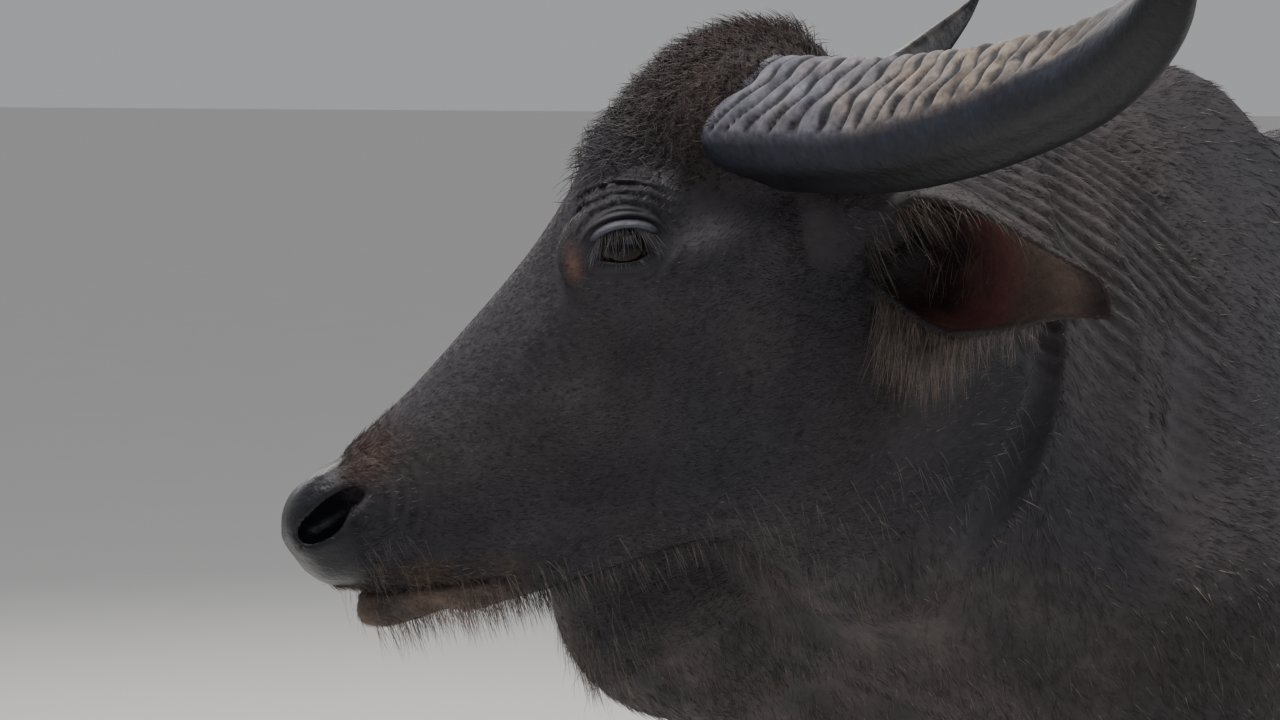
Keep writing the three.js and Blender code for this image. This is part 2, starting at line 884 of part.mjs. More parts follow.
function head(core) {
  const parts = [core, ...pollTuft()];
  for (const side of Object.values(SIDES)) parts.push(lid(side, true), lid(side, false));
  let made = fuse(parts);
  for (const side of Object.values(SIDES)) {
    made = made.subtract(sphere(fromFace(mirrored(EYE.at, side)), EYE.radius + GAP));
    made = made.subtract(faceBall([256, 44 * side, 24], [24, 17, 11], -0.5 * side));
    made = made.subtract(faceBall([236, 50 * side, 28], [18, 12, 7], -0.35 * side, 12));
  }
  return largest(made.subtract(mouthWedge()));
}

// Horns: a path in the head's level frame, a width and a thickness at each point

const HORN_PATH = [
  { at: [-74, 34, 168], width: 88, thick: 84 },
  { at: [-90, 92, 172], width: 90, thick: 76 },
  { at: [-128, 156, 172], width: 88, thick: 66 },
  { at: [-173, 220, 175], width: 85, thick: 58 },
  { at: [-229, 324, 190], width: 74, thick: 50 },
  { at: [-278, 420, 214], width: 60, thick: 42 },
  { at: [-308, 498, 252], width: 41, thick: 30 },
  { at: [-310, 540, 304], width: 18, thick: 15 },
  { at: [-302, 552, 330], width: 4, thick: 4 },
];
// How far a horn leads the path along its outer half and how much higher its tip lies
const HORN_SET = { left: [0, 0], right: [90, -55] };
const HORN_RIDGES = 13;
const RIDGED_SHARE = 0.72;

function horn(name) {
  const side = SIDES[name];
  const segments = 13;
  const rings = 2 * HORN_RIDGES + 9;
  const [ahead, lift] = HORN_SET[name];
  const level = HORN_PATH.map(({ at: [x, y, z] }) => {
    const out = clamp01((y - 90) / 460);
    const lead = ahead * sin(PI * min(out, 0.5)) * (1 - 0.9 * out ** 20);
    return new THREE.Vector3(x + lead, y * side, z + lift * out ** 2);
  });
  const curve = new THREE.CatmullRomCurve3(level);
  const last = HORN_PATH.length - 1;
  const skins = Array.from({ length: rings }, (_, i) => {
    const ridged = i <= 2 * HORN_RIDGES;
    const t = ridged
      ? (RIDGED_SHARE * i) / (2 * HORN_RIDGES)
      : mix(RIDGED_SHARE, 1, (i - 2 * HORN_RIDGES) / 8);
    const at = curve.getPoint(t).toArray();
    const along = curve.getTangent(t).toArray();
    const rearward = unit(cross([0, 0, side], along));
    const up = cross(along, rearward).map((v) => v * side);
    const place = t * last;
    const k = min(Math.floor(place), last - 1);
    const width = mix(HORN_PATH[k].width, HORN_PATH[k + 1].width, place - k);
    const thick = mix(HORN_PATH[k].thick, HORN_PATH[k + 1].thick, place - k);
    const fade = ridged ? clamp01((2 * HORN_RIDGES - i) / 8) : 0;
    return Array.from({ length: segments }, (_, j) => {
      const angle = (2 * PI * j) / segments;
      const edge = 1 + 0.13 * cos(3 * (PI - angle + 0.15));
      const onTop = max(0, sin(PI - angle + 0.3));
      const ridge = (i % 2 ? 2.4 : -2.4) * fade * onTop;
      const across = (thick / 2) * edge * cos(angle) + ridge * cos(angle);
      const high = (width / 2) * edge * sin(angle) + ridge * sin(angle);
      return fromLevel(add(add(at, rearward, across), up, high));
    });
  });
  return skinOver(skins);
}

// Ears: a leaf rolled into a cup, in the head's level frame

const EAR = {
  root: { left: [-160, 82, 80], right: [-140, -92, 84] },
  axis: { left: unit([-0.6, 0.78, -0.02]), right: unit([0.36, -0.93, 0.02]) },
  opening: { left: [0.52, 0.78, -0.3], right: [0.9, 0.3, -0.3] },
  length: 232,
  halfWidth: profile([
    [0, 32],
    [0.12, 46],
    [0.28, 55],
    [0.42, 52],
    [0.58, 43],
    [0.74, 28],
    [0.9, 17],
    [1, 7],
  ]),
  roll: profile([
    [0, 2.7],
    [0.15, 2.3],
    [0.4, 1.5],
    [0.7, 0.95],
    [1, 0.5],
  ]),
  thick: 6.4,
  droop: -16,
};

// A place on an ear's leaf: t along it, v from edge to edge, sunk from its outer face
function earPoint(name, t, v, sunk) {
  const axis = EAR.axis[name];
  const facing = unit(add(EAR.opening[name], axis, -dot(EAR.opening[name], axis)));
  const width = cross(axis, facing).map((x) => x * SIDES[name]);
  const roll = EAR.roll(t);
  const radius = EAR.halfWidth(t) / sin(min(roll, PI / 2));
  const curl = add(add(EAR.root[name], axis, EAR.length * t), [0, 0, 1], EAR.droop * t ** 3);
  const back = -(radius - sunk) * cos(roll * v) + radius * cos(roll) * 0.6;
  return fromLevel(add(add(curl, facing, back), width, (radius - sunk) * sin(roll * v)));
}

function ear(name) {
  const rows = 13;
  const across = 9;
  const rings = [];
  for (let i = 0; i < rows; i++) {
    const t = i / (rows - 1);
    const thick = mix(EAR.thick, 3, t);
    const outer = [];
    const inner = [];
    for (let j = 0; j < across; j++) {
      const v = (2 * j) / (across - 1) - 1;
      outer.push(earPoint(name, t, v, 0));
      inner.push(earPoint(name, t, v * 0.97, thick));
    }
    rings.push([...outer, ...inner.reverse()]);
  }
  return skinOver(rings);
}

// Locks of long hair that hang from both edges of an ear
function earFringe(name) {
  const perEdge = 5;
  const random = seeded(23);
  const locks = [];
  for (const edge of [-1, 1])
    for (let i = 0; i < perEdge; i++) {
      const t = 0.26 + 0.09 * i;
      const root = earPoint(name, t, edge * 0.9, EAR.thick / 2);
      const rim = earPoint(name, t, edge, EAR.thick / 2);
      const next = earPoint(name, t + 0.05, edge * 0.9, EAR.thick / 2);
      const along = unit(add(next, root, -1));
      const out = unit(add(rim, root, -1));
      const direction = unit(add(add(out, along, 0.5), [0, 0, 1], -0.4));
      locks.push(lock(root, direction, [0, 0, -0.35], along, 36 + random() * 6, 18, 6));
    }
  return locks;
}

function dot(a, b) {
  return a[0] * b[0] + a[1] * b[1] + a[2] * b[2];
}

// Tail: a tapering dock and a switch of locks

const TAIL_PATH = [
  [-748, 0, 1150],
  [-800, 0, 1132],
  [-828, 0, 1075],
  [-836, 0, 960],
  [-838, 2, 800],
  [-834, 5, 640],
  [-830, 6, 540],
];

function tail() {
  const count = 15;
  const curve = new THREE.CatmullRomCurve3(TAIL_PATH.map((p) => new THREE.Vector3(...p)));
  const path = Array.from({ length: count }, (_, i) => curve.getPoint(i / (count - 1)).toArray());
  const radii = path.map((_, i) => mix(34, 9, (i / (count - 1)) ** 0.7));
  const random = seeded(7);
  const parts = [tube(path, radii, 9)];
  for (let i = 0; i < 8; i++) {
    const angle = (PI * i) / 2 + (i < 4 ? 0.2 : 1);
    const start = curve.getPoint(i < 4 ? 0.9 : 0.96).toArray();
    const out = [cos(angle), sin(angle), 0];
    const root = add(start, out, 3);
    const direction = unit(add([0, 0, -1], out, 0.12 + random() * 0.05));
    const bend = out.map((v) => v * -0.1);
    parts.push(lock(root, direction, bend, cross(direction, out), 165 + random() * 22, 19, 9));
  }
  return fuse(parts);
}

// Legs: rings down from the torso's cut to the coronet, with two dewclaws

const CORONET_TILT = THREE.MathUtils.degToRad(14);

function legSolid({ path, topZ }) {
  const [high, joint, fetlock, coronet] = path;
  const start = mixPoint(high, joint, (high[2] - topZ) / (high[2] - joint[2]));
  const stops = [start, mixPoint(start, joint, 0.35), mixPoint(start, joint, 0.72), joint];
  for (const t of [0.12, 0.28, 0.55, 0.8, 0.92]) stops.push(mixPoint(joint, fetlock, t));
  stops.push(fetlock, mixPoint(fetlock, coronet, 0.55), coronet);
  const last = stops.length - 1;
  const rings = stops.map((stop, i) => {
    const tilt = CORONET_TILT * clamp01(i - last + 2) * 0.5 * (i === last ? 2 : 1);
    const along = [sin(tilt), 0, -cos(tilt)];
    const center = i === 0 ? [stop[0], stop[1], topZ - HALF_GAP] : stop;
    const up = [cos(tilt), 0, sin(tilt)];
    const ring = { center, up, side: [0, 1, 0], along, limit: 190 };
    return castRing(flesh, ring, 14);
  });
  const parts = [skinOver(rings)];
  for (const side of [1, -1]) {
    const root = add(fetlock, [-32, 20 * side, -8]);
    parts.push(tube([root, add(root, [-16, 3 * side, -14]), add(root, [-22, 4 * side, -30])], [15, 15, 8]));
  }
  return fuse(parts);
}

// Hooves: two claws under each coronet, flat on the ground

function claw(coronet, inner) {
  const around = 14;
  const low = [
    { z: 0, back: -62, front: 78, half: 27 },
    { z: 5, back: -64, front: 80, half: 28 },
    { z: 38, back: -60, front: 60, half: 27.5 },
  ];
  const offset = 29.5 * inner;
  const outline = (back, front, half, toZ) =>
    Array.from({ length: around }, (_, j) => {
      const angle = (2 * PI * j) / around;
      const reachX = cos(angle) > 0 ? front : -back;
      const x = reachX * Math.sign(cos(angle)) * abs(cos(angle)) ** 0.85;
      const bulge = sin(angle) * inner > 0 ? 1.06 : 0.9;
      const y = half * bulge * Math.sign(sin(angle)) * abs(sin(angle)) ** 0.8;
      return [coronet[0] + x, coronet[1] + offset + y, toZ(x)];
    });
  const rings = low.map(({ z, back, front, half }) => outline(back, front, half, () => z));
  const slope = Math.tan(CORONET_TILT);
  rings.push(outline(-54, 46, 25.5, (x) => coronet[2] - GAP + x * slope));
  return skinOver(rings);
}

// Assembly

const group = new THREE.Group();

function addNode(name, made, color, roughness) {
  const mesh = made.getMesh();
  const geometry = new THREE.BufferGeometry();
  geometry.setAttribute("position", new THREE.BufferAttribute(mesh.vertProperties, 3));
  geometry.setIndex(new THREE.BufferAttribute(mesh.triVerts, 1));
  geometry.computeVertexNormals();
  const material = new THREE.MeshStandardMaterial({ color, roughness, metalness: 0 });
  const node = new THREE.Mesh(geometry, material);
  node.name = name;
  group.add(node);
}

const hide = (name, made) => addNode(name, made, HIDE_COLOR, 0.8);

const headCore = headSolid(0);
const headLarger = headSolid(4 * GAP);
const neckMade = neckSolid(0);
const neckLarger = neckSolid(GAP);

const headMade = head(headCore);
const torsoMade = torso();

hide("torso", torsoMade);
hide("neck", neckMade);
hide("head", headMade);
for (const [name, side] of Object.entries(SIDES)) {
  const eye = sphere(fromFace(mirrored(EYE.at, side)), EYE.radius);
  const hornMade = largest(horn(name).subtract(headLarger).subtract(headMade));
  const blocked = headLarger.add(neckLarger).add(headMade).add(horn(name));
  addNode(`horn_${name}`, hornMade, HORN_COLOR, 0.45);
  hide(`ear_${name}`, largest(fuse([ear(name), ...earFringe(name)]).subtract(blocked)));
  addNode(`eye_${name}`, eye, EYE_COLOR, 0.1);
}
for (const [name, leg] of Object.entries(legs)) {
  hide(name, legSolid(leg));
  const coronet = leg.path[3];
  const outward = Math.sign(coronet[1]);
  addNode(`hoof_${name}_outer`, claw(coronet, outward), HOOF_COLOR, 0.6);
  addNode(`hoof_${name}_inner`, claw(coronet, -outward), HOOF_COLOR, 0.6);
}
hide("tail", largest(tail().subtract(torsoMade)));

// The origin: the middle of the object's box, on the ground
const box = new THREE.Box3().setFromObject(group);
const middle = box.getCenter(new THREE.Vector3());
group.position.set(-middle.x, -middle.y, -box.min.z);

export default group;
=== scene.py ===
"""A life-size standing water buffalo of the swamp type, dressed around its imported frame.

Lengths are millimetres in the animal's own frame: +X towards its front, +Y towards its left, +Z up.
in_frame() turns them into the frame's metres. The hide is one skin over a field of blended forms.
"""

import itertools
import math

import bpy
import numpy as np
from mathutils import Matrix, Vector


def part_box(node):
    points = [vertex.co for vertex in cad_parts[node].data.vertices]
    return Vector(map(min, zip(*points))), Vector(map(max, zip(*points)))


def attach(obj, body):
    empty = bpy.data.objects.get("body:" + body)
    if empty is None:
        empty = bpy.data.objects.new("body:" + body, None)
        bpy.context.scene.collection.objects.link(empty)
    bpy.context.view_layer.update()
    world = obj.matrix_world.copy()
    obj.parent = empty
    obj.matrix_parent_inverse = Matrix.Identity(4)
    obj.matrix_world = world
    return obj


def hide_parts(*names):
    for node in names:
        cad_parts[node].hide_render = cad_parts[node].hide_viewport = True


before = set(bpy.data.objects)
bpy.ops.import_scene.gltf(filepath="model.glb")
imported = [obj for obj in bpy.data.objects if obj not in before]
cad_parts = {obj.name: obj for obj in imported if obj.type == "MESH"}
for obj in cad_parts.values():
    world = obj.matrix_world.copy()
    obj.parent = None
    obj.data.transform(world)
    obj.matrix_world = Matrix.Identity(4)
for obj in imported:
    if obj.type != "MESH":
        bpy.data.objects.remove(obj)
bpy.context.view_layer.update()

MM = 0.001
SIDES = {"left": 1, "right": -1}
COARSE = 1.0


# Numbers and curves


def mix(a, b, t):
    return a + (b - a) * t


def smooth(low, high, x):
    """0 below low, 1 above high, smooth between them."""
    t = np.clip((x - low) / (high - low), 0, 1)
    return t * t * (3 - 2 * t)


def clip01(x):
    return np.clip(x, 0, 1)


def hump(*offsets):
    """1 where every offset is 0, and next to nothing past 2."""
    return np.exp(-sum(offset**2 for offset in offsets))


def circle(count):
    return np.linspace(0, math.tau, count, endpoint=False)


def unit(vectors):
    vectors = np.asarray(vectors, float)
    return vectors / np.maximum(np.linalg.norm(vectors, axis=-1, keepdims=True), 1e-9)


def profile(points):
    """A smooth curve through (x, value) pairs, level beyond its ends."""
    xs, ys = np.array(points, float).T
    slopes = np.empty(len(xs))
    slopes[1:-1] = (ys[2:] - ys[:-2]) / (xs[2:] - xs[:-2])
    slopes[0] = (ys[1] - ys[0]) / (xs[1] - xs[0])
    slopes[-1] = (ys[-1] - ys[-2]) / (xs[-1] - xs[-2])

    def value(x):
        x = np.clip(x, xs[0], xs[-1])
        i = np.clip(np.searchsorted(xs, x, side="right") - 1, 0, len(xs) - 2)
        width = xs[i + 1] - xs[i]
        t = (x - xs[i]) / width
        rise = t * t * (3 - 2 * t)
        bend = t * (1 - t) ** 2 * slopes[i] + t * t * (t - 1) * slopes[i + 1]
        return mix(ys[i], ys[i + 1], rise) + bend * width

    return value


def along_curve(points, t):
    """Points of a smooth curve through control points, for t from 0 to 1."""
    points = np.asarray(points, float)
    count = len(points) - 1
    place = np.clip(np.asarray(t, float) * count, 0, count - 1e-9)
    i = place.astype(int)
    u = (place - i)[..., None]
    padded = np.vstack([2 * points[0] - points[1], points, 2 * points[-1] - points[-2]])
    p0, p1, p2, p3 = (padded[i + n] for n in range(4))
    return 0.5 * (
        2 * p1
        + (p2 - p0) * u
        + (2 * p0 - 5 * p1 + 4 * p2 - p3) * u**2
        + (3 * p1 - p0 - 3 * p2 + p3) * u**3
    )


def waves(points, scale, seed, octaves=3):
    """Smooth seeded noise from about -1 to 1, made of sine waves of turning directions."""
    random = np.random.default_rng(seed)
    total = np.zeros(len(points))
    for octave in range(octaves):
        size = scale / 2**octave
        for _ in range(5):
            direction = unit(random.normal(size=3)) * math.tau / size
            phase = random.uniform(0, math.tau)
            total += np.sin(points @ direction + phase) / (2.2 * 1.7**octave)
    return total / 1.6


# Signed distance forms, negative inside; each is (field, lowest corner, highest corner)


def smooth_union(a, b, k):
    h = np.maximum(k - np.abs(a - b), 0) / k
    return np.minimum(a, b) - h * h * k * 0.25


def smooth_cut(a, b, k):
    return -smooth_union(-a, b, k)


def ball(center, radii):
    center, radii = np.array(center, float), np.array(radii, float)

    def field(p):
        q = (p - center) / radii
        k0 = np.linalg.norm(q, axis=1)
        k1 = np.maximum(np.linalg.norm(q / radii, axis=1), 1e-9)
        return k0 * (k0 - 1) / k1

    return field, center - radii, center + radii


def limb(a, b, radius_a, radius_b, flat=1.0):
    """A tapered limb from a to b; flat squeezes it along y."""
    a, b = np.array(a, float), np.array(b, float)
    d = b - a
    widest = max(radius_a, radius_b)

    def field(p):
        q = p - a
        t = clip01(q @ d / (d @ d))
        off = q - t[:, None] * d
        off[:, 1] /= flat
        return (np.linalg.norm(off, axis=1) - mix(radius_a, radius_b, t)) * flat

    return field, np.minimum(a, b) - widest, np.maximum(a, b) + widest


def slab(a, b, size_a, size_b):
    """A length of neck from a to b, each end given as (half width, half height)."""
    a, b = np.array(a, float), np.array(b, float)
    length = np.linalg.norm(b - a)
    along = (b - a) / length
    side = unit([-along[1], along[0], 0])
    up = np.cross(along, side)

    def field(p):
        q = p - a
        s = q @ along
        t = clip01(s / length)
        past = s - t * length
        width = mix(size_a[0], size_b[0], t)
        height = mix(size_a[1], size_b[1], t)
        rho = np.hypot(q @ side / width, q @ up / height)
        d = (rho - 1) * width
        return np.where(np.abs(past) < 1e-9, d, np.hypot(np.maximum(d, 0), past))

    reach = max(*size_a, *size_b)
    return field, np.minimum(a, b) - reach, np.maximum(a, b) + reach


def loft(start, end, top, bottom, half, level, power, below, above):
    """A body lofted along x from its top and bottom lines and its half width."""

    def field(p):
        x, y, z = p.T
        s = np.clip(x, start, end)
        high, low = top(s), bottom(s)
        middle = mix(low, high, level)
        v = np.where(z > middle, (z - middle) / (high - middle), (z - middle) / (middle - low))
        shrink = np.where(v < 0, below * np.maximum(v, -1), -above * np.minimum(v, 1))
        width = half(s) * (1 + shrink)
        rho = (np.abs(y / width) ** power + np.abs(v) ** power) ** (1 / power)
        d = (rho - 1) * np.minimum(width, (high - low) / 2) * 0.9
        past = np.abs(x - s)
        return np.where(past < 1e-9, d, np.hypot(np.maximum(d, 0), past))

    return field


def blend_in(d, points, form, k, margin, cut=False):
    """Adds a form to the field values d, or cuts it, where it is near enough to matter."""
    field, low, high = form
    near = np.all((points > low - k - margin) & (points < high + k + margin), axis=1)
    if not near.any():
        return
    value = field(points[near])
    d[near] = smooth_cut(d[near], value, k) if cut else smooth_union(d[near], value, k)


# Trunk and neck

trunk = loft(
    start=-775,
    end=690,
    level=0.47,
    power=2.25,
    below=0.12,
    above=0.22,
    top=profile(
        [(-775, 1130), (-735, 1178), (-600, 1236), (-430, 1262), (-230, 1256), (-20, 1240)]
        + [(180, 1248), (330, 1283), (400, 1290), (500, 1262), (620, 1180), (690, 1060)]
    ),
    bottom=profile(
        [(-775, 1010), (-720, 880), (-600, 760), (-450, 690), (-300, 628), (-100, 560)]
        + [(100, 545), (300, 568), (450, 596), (580, 650), (660, 760), (690, 900)]
    ),
    half=profile(
        [(-775, 70), (-735, 135), (-600, 205), (-430, 250), (-250, 300), (-60, 348)]
        + [(120, 352), (300, 300), (420, 262), (540, 232), (640, 190), (690, 120)]
    ),
)

# The neck's stations: place, (half width, half height)
NECK = [
    ((430, 0, 990), (190, 290)),
    ((600, 8, 1010), (166, 250)),
    ((720, 22, 1045), (134, 205)),
    ((800, 38, 1085), (100, 165)),
    ((862, 12, 1118), (80, 130)),
]
neck_forms = [slab(a[0], b[0], a[1], b[1]) for a, b in zip(NECK, NECK[1:])]

# Brisket, the fold between neck and shoulder, udder; then hip bones, pin bones, shoulder points
bump_forms = [
    ball((660, 0, 725), (115, 110, 95)),
    ball((788, -178, 915), (103, 103, 112)),
    ball((-478, 0, 676), (118, 104, 62)),
]
for side in SIDES.values():
    bump_forms += [
        ball((-425, 190 * side, 1176), (70, 48, 48)),
        ball((-735, 92 * side, 1108), (48, 46, 50)),
        ball((685, 105 * side, 835), (95, 105, 135)),
    ]

# Legs. Landmarks: the place on the left side, and the share of the stride that moves it ahead
LANDMARKS = {
    "foreleg": {
        "top": (415, 66, 1215, 0),
        "shoulder": (635, 205, 885, 0.25),
        "elbow": (440, 196, 715, 0),
        "knee": (452, 186, 425, 0.55),
        "fetlock": (448, 182, 158, 1),
        "coronet": (474, 182, 78, 1),
    },
    "hindleg": {
        "hip": (-545, 124, 1030, 0),
        "pin": (-690, 88, 1045, 0),
        "stifle": (-400, 200, 770, 0.3),
        "ham": (-640, 150, 800, 0),
        "hock": (-700, 178, 520, 0.7),
        "hock_top": (-734, 178, 558, 0.7),
        "hock_back": (-714, 178, 490, 0.7),
        "fetlock": (-684, 176, 160, 1),
        "coronet": (-652, 176, 78, 1),
    },
}
# Places a share of the way from one landmark to another
BETWEEN = {
    "foreleg": {
        "above_knee": ("elbow", "knee", 0.72),
        "shank": ("knee", "fetlock", 0.22),
        "ankle": ("knee", "fetlock", 0.85),
        "above_fetlock": ("knee", "fetlock", 0.9),
    },
    "hindleg": {
        "above_hock": ("stifle", "hock", 0.72),
        "calf": ("stifle", "hock", 0.35),
        "calf_end": ("calf", "hock", 0.55),
        "shank": ("hock", "fetlock", 0.25),
        "ankle": ("hock", "fetlock", 0.85),
        "above_fetlock": ("hock", "fetlock", 0.9),
    },
}
# Limbs: from, to, the radius at each end, and how flat
MUSCLES = {
    "foreleg": [("top", "shoulder", 62, 92, 0.8), ("shoulder", "elbow", 98, 92, 0.75)],
    "hindleg": [
        ("hip", "stifle", 165, 106, 0.72),
        ("pin", "ham", 92, 96, 0.8),
        ("ham", "calf_end", 96, 50, 0.72),
    ],
}
BONES = {
    "foreleg": [
        ("elbow", "above_knee", 88, 50, 0.78),
        ("above_knee", "knee", 50, 52, 0.88),
        ("knee", "shank", 53, 37, 0.92),
        ("shank", "ankle", 36, 35, 0.92),
        ("above_fetlock", "fetlock", 38, 47, 0.95),
        ("fetlock", "coronet", 44, 54, 1),
    ],
    "hindleg": [
        ("stifle", "above_hock", 108, 56, 0.68),
        ("above_hock", "hock", 54, 56, 0.72),
        ("hock_top", "hock_back", 30, 34, 0.8),
        ("hock", "shank", 52, 40, 0.8),
        ("shank", "ankle", 38, 36, 0.9),
        ("above_fetlock", "fetlock", 39, 47, 0.95),
        ("fetlock", "coronet", 44, 53, 1),
    ],
}
STRIDES = {"foreleg_left": -25, "hindleg_left": 45, "foreleg_right": 95, "hindleg_right": -40}
CORONET_SLOPE = math.tan(math.radians(14))


def make_leg(kind, side, stride):
    """A leg's limbs, and where its coronet and its fetlock are."""
    at = {}
    for name, (x, y, z, share) in LANDMARKS[kind].items():
        at[name] = np.array([x + stride * share, y * side, z], float)
    for name, (start, end, share) in BETWEEN[kind].items():
        at[name] = mix(at[start], at[end], share)
    leg = {"coronet": at["coronet"], "fetlock": at["fetlock"]}
    for layer, limbs in (("muscles", MUSCLES), ("bones", BONES)):
        leg[layer] = [limb(at[start], at[end], *size) for start, end, *size in limbs[kind]]
    return leg


legs = {}
for leg_name, stride in STRIDES.items():
    kind, side_name = leg_name.split("_")
    legs[leg_name] = make_leg(kind, SIDES[side_name], stride)

TAIL = [(-748, 0, 1150), (-800, 0, 1132), (-828, 0, 1075), (-836, 0, 960), (-838, 2, 800)]
TAIL += [(-834, 5, 640), (-830, 6, 540)]


def tail_radius(t):
    return mix(32, 9, t**0.7)


tail_stops = np.linspace(0, 1, 15)
tail_points = along_curve(TAIL, tail_stops)
tail_forms = [
    limb(tail_points[i], tail_points[i + 1], *tail_radius(tail_stops[i : i + 2]))
    for i in range(len(tail_stops) - 1)
]

# The head's frames. Face: s along the face, y to its left, t up from the face's axis.
# Level: ahead, to the left and up.

HEAD_ORIGIN = np.array([935.0, -130.0, 1090.0])
HEAD_TURN = math.radians(-60)
FACE_TILT = math.radians(32)
forward = np.array([math.cos(HEAD_TURN), math.sin(HEAD_TURN), 0])
leftward = np.array([-forward[1], forward[0], 0])
UP = np.array([0.0, 0.0, 1.0])
LEVEL_AXES = np.array([forward, leftward, UP])
face_s = forward * math.cos(FACE_TILT) - UP * math.sin(FACE_TILT)
face_t = forward * math.sin(FACE_TILT) + UP * math.cos(FACE_TILT)
FACE_AXES = np.array([face_s, leftward, face_t])


def from_level(points):
    return HEAD_ORIGIN + np.asarray(points, float) @ LEVEL_AXES


def from_face(points):
    return HEAD_ORIGIN + np.asarray(points, float) @ FACE_AXES


def to_level(points):
    return (points - HEAD_ORIGIN) @ LEVEL_AXES.T


def to_face(points):
    return (points - HEAD_ORIGIN) @ FACE_AXES.T


EYE = np.array([-38.5, 84.0, 81.5])
EYE_RADIUS = 22.0

skull = loft(
    start=-212,
    end=284,
    level=0.55,
    power=2.5,
    below=0.3,
    above=0.16,
    top=profile(
        [(-212, 128), (-170, 160), (-120, 171), (-60, 158), (-15, 132), (30, 112)]
        + [(100, 90), (160, 73), (222, 60), (262, 50), (284, 30)]
    ),
    bottom=profile(
        [(-212, -100), (-150, -132), (-80, -150), (0, -138), (80, -120)]
        + [(140, -103), (180, -84), (235, -60), (262, -24), (284, 0)]
    ),
    half=profile(
        [(-212, 84), (-150, 90), (-60, 92), (0, 84), (70, 68), (130, 57)]
        + [(190, 54), (240, 57), (268, 46), (284, 26)]
    ),
)


def turned_ball(center, radii, turn):
    """A ball turned about the face's up direction."""
    field, _, _ = ball((0, 0, 0), radii)
    c, s = math.cos(turn), math.sin(turn)
    center = np.array(center, float)

    def turned(p):
        q = p - center
        return field(np.stack([q[:, 0] * c + q[:, 1] * s, q[:, 1] * c - q[:, 0] * s, q[:, 2]], 1))

    return turned, center - max(radii), center + max(radii)


# Forms of the head, each with how softly it joins
head_parts = []
head_hollows = []
for side in SIDES.values():
    head_parts += [
        (ball((-38, 77 * side, 86), (50, 28, 36)), 22),  # brow
        (limb((0, 76 * side, 52), (-130, 82 * side, 36), 17, 22), 24),  # cheek bone
        (ball((-78, 56 * side, -62), (86, 34, 84)), 26),  # the jaw's flat
        (ball((-166, 74 * side, 104), (56, 36, 54)), 24),  # the horn's root
        (limb((-190, 66 * side, 18), (-205, 96 * side, 14), 40, 36), 20),  # the ear's root
        (limb((185, 26 * side, -62), (-95, 56 * side, -122), 25, 32), 22),  # jaw bone
        (ball((236, 36 * side, 24), (42, 26, 34)), 16),  # nostril
    ]
    head_hollows += [
        (ball((-106, 112 * side, 88), (44, 22, 30)), 16),  # temple
        (ball((28, 106 * side, 36), (60, 34, 30)), 26),  # cheek
        (ball((-38, 116 * side, 82), (29, 22, 17)), 9),  # eye
    ]
head_parts += [
    (ball((-160, 0, 108), (74, 84, 64)), 24),  # poll
    (ball((250, 0, -2), (34, 50, 26)), 14),  # upper lip
    (ball((225, 0, -49), (48, 38, 24)), 16),  # chin
    (ball((256, 0, 26), (31, 44, 30)), 14),  # the nose's pad
    (ball((-130, 0, -84), (90, 62, 62)), 40),  # throat
]
for side in SIDES.values():
    for place, radii, turn, softness in (
        ((250, 47 * side, 25), (19, 15, 9), -0.5, 5),
        ((232, 52 * side, 31), (19, 12, 6), -0.35, 5),
        ((240, 40 * side, 24), (16, 10, 7), -0.5, 4),
    ):
        head_hollows.append((turned_ball(place, radii, turn * side), softness))

MOUTH_CENTER = np.array([200.0, 0.0, -59.0])
MOUTH_AHEAD = unit([0.91, 0, 0.414])
MOUTH_UP = np.array([-MOUTH_AHEAD[2], 0, MOUTH_AHEAD[0]])
MOUTH_OPEN = math.radians(148)


def mouth_place(face):
    """Up from the plane of the mouth, ahead along it, and how far round it from its front."""
    q = face - MOUTH_CENTER
    ahead = q @ MOUTH_AHEAD
    return q @ MOUTH_UP, ahead, np.arctan2(np.abs(q[:, 1]), ahead) / MOUTH_OPEN


def mouth_line(face):
    """How deep the line of the mouth is pressed in at points of the face."""
    up, ahead, turn = mouth_place(face)
    fade = (1 - smooth(0.8, 1.0, turn)) * smooth(-190, -60, ahead)
    depth = mix(4.5, 7.0, smooth(0.1, 0.45, turn))
    return depth * fade * hump(up / 2.5)


EYE_TILT = math.radians(24)


def eye_place(face, side):
    """Ahead and up of an eye's middle, along its opening, which lies nearly level."""
    c, s = math.cos(EYE_TILT), math.sin(EYE_TILT)
    q = face - EYE * [1, side, 1]
    return q[:, 0] * c + q[:, 2] * s, q[:, 2] * c - q[:, 0] * s


def face_relief(face):
    """The skin's folds on the face: brow wrinkles, folds under the eye, nostril and lip folds."""
    relief = np.zeros(len(face))
    for side in SIDES.values():
        ahead, up = eye_place(face, side)
        same = smooth(20, 50, face[:, 1] * side)
        round_eye = np.hypot(ahead / 1.25, up - 3)
        wave = np.sin((round_eye - 21) * math.tau / 6.5)
        above = smooth(4, 14, up) * (1 - smooth(40, 52, round_eye)) * smooth(20, 24, round_eye)
        above = above * (1 - smooth(24, 42, np.abs(ahead)))
        relief += same * above * wave * 1.8
        below = smooth(2, 14, -up) * (1 - smooth(30, 44, round_eye)) * smooth(17, 22, round_eye)
        relief += same * below * np.sin((round_eye - 18) * math.tau / 11) * 0.7
        wing = np.hypot(face[:, 0] - 224, face[:, 2] - 30)
        behind = smooth(-4, 20, 224 - face[:, 0] + 0.4 * (face[:, 2] - 30))
        around = smooth(18, 26, wing) * (1 - smooth(44, 60, wing)) * behind
        relief += same * around * np.sin((wing - 20) * math.tau / 10) * 0.9
    return relief


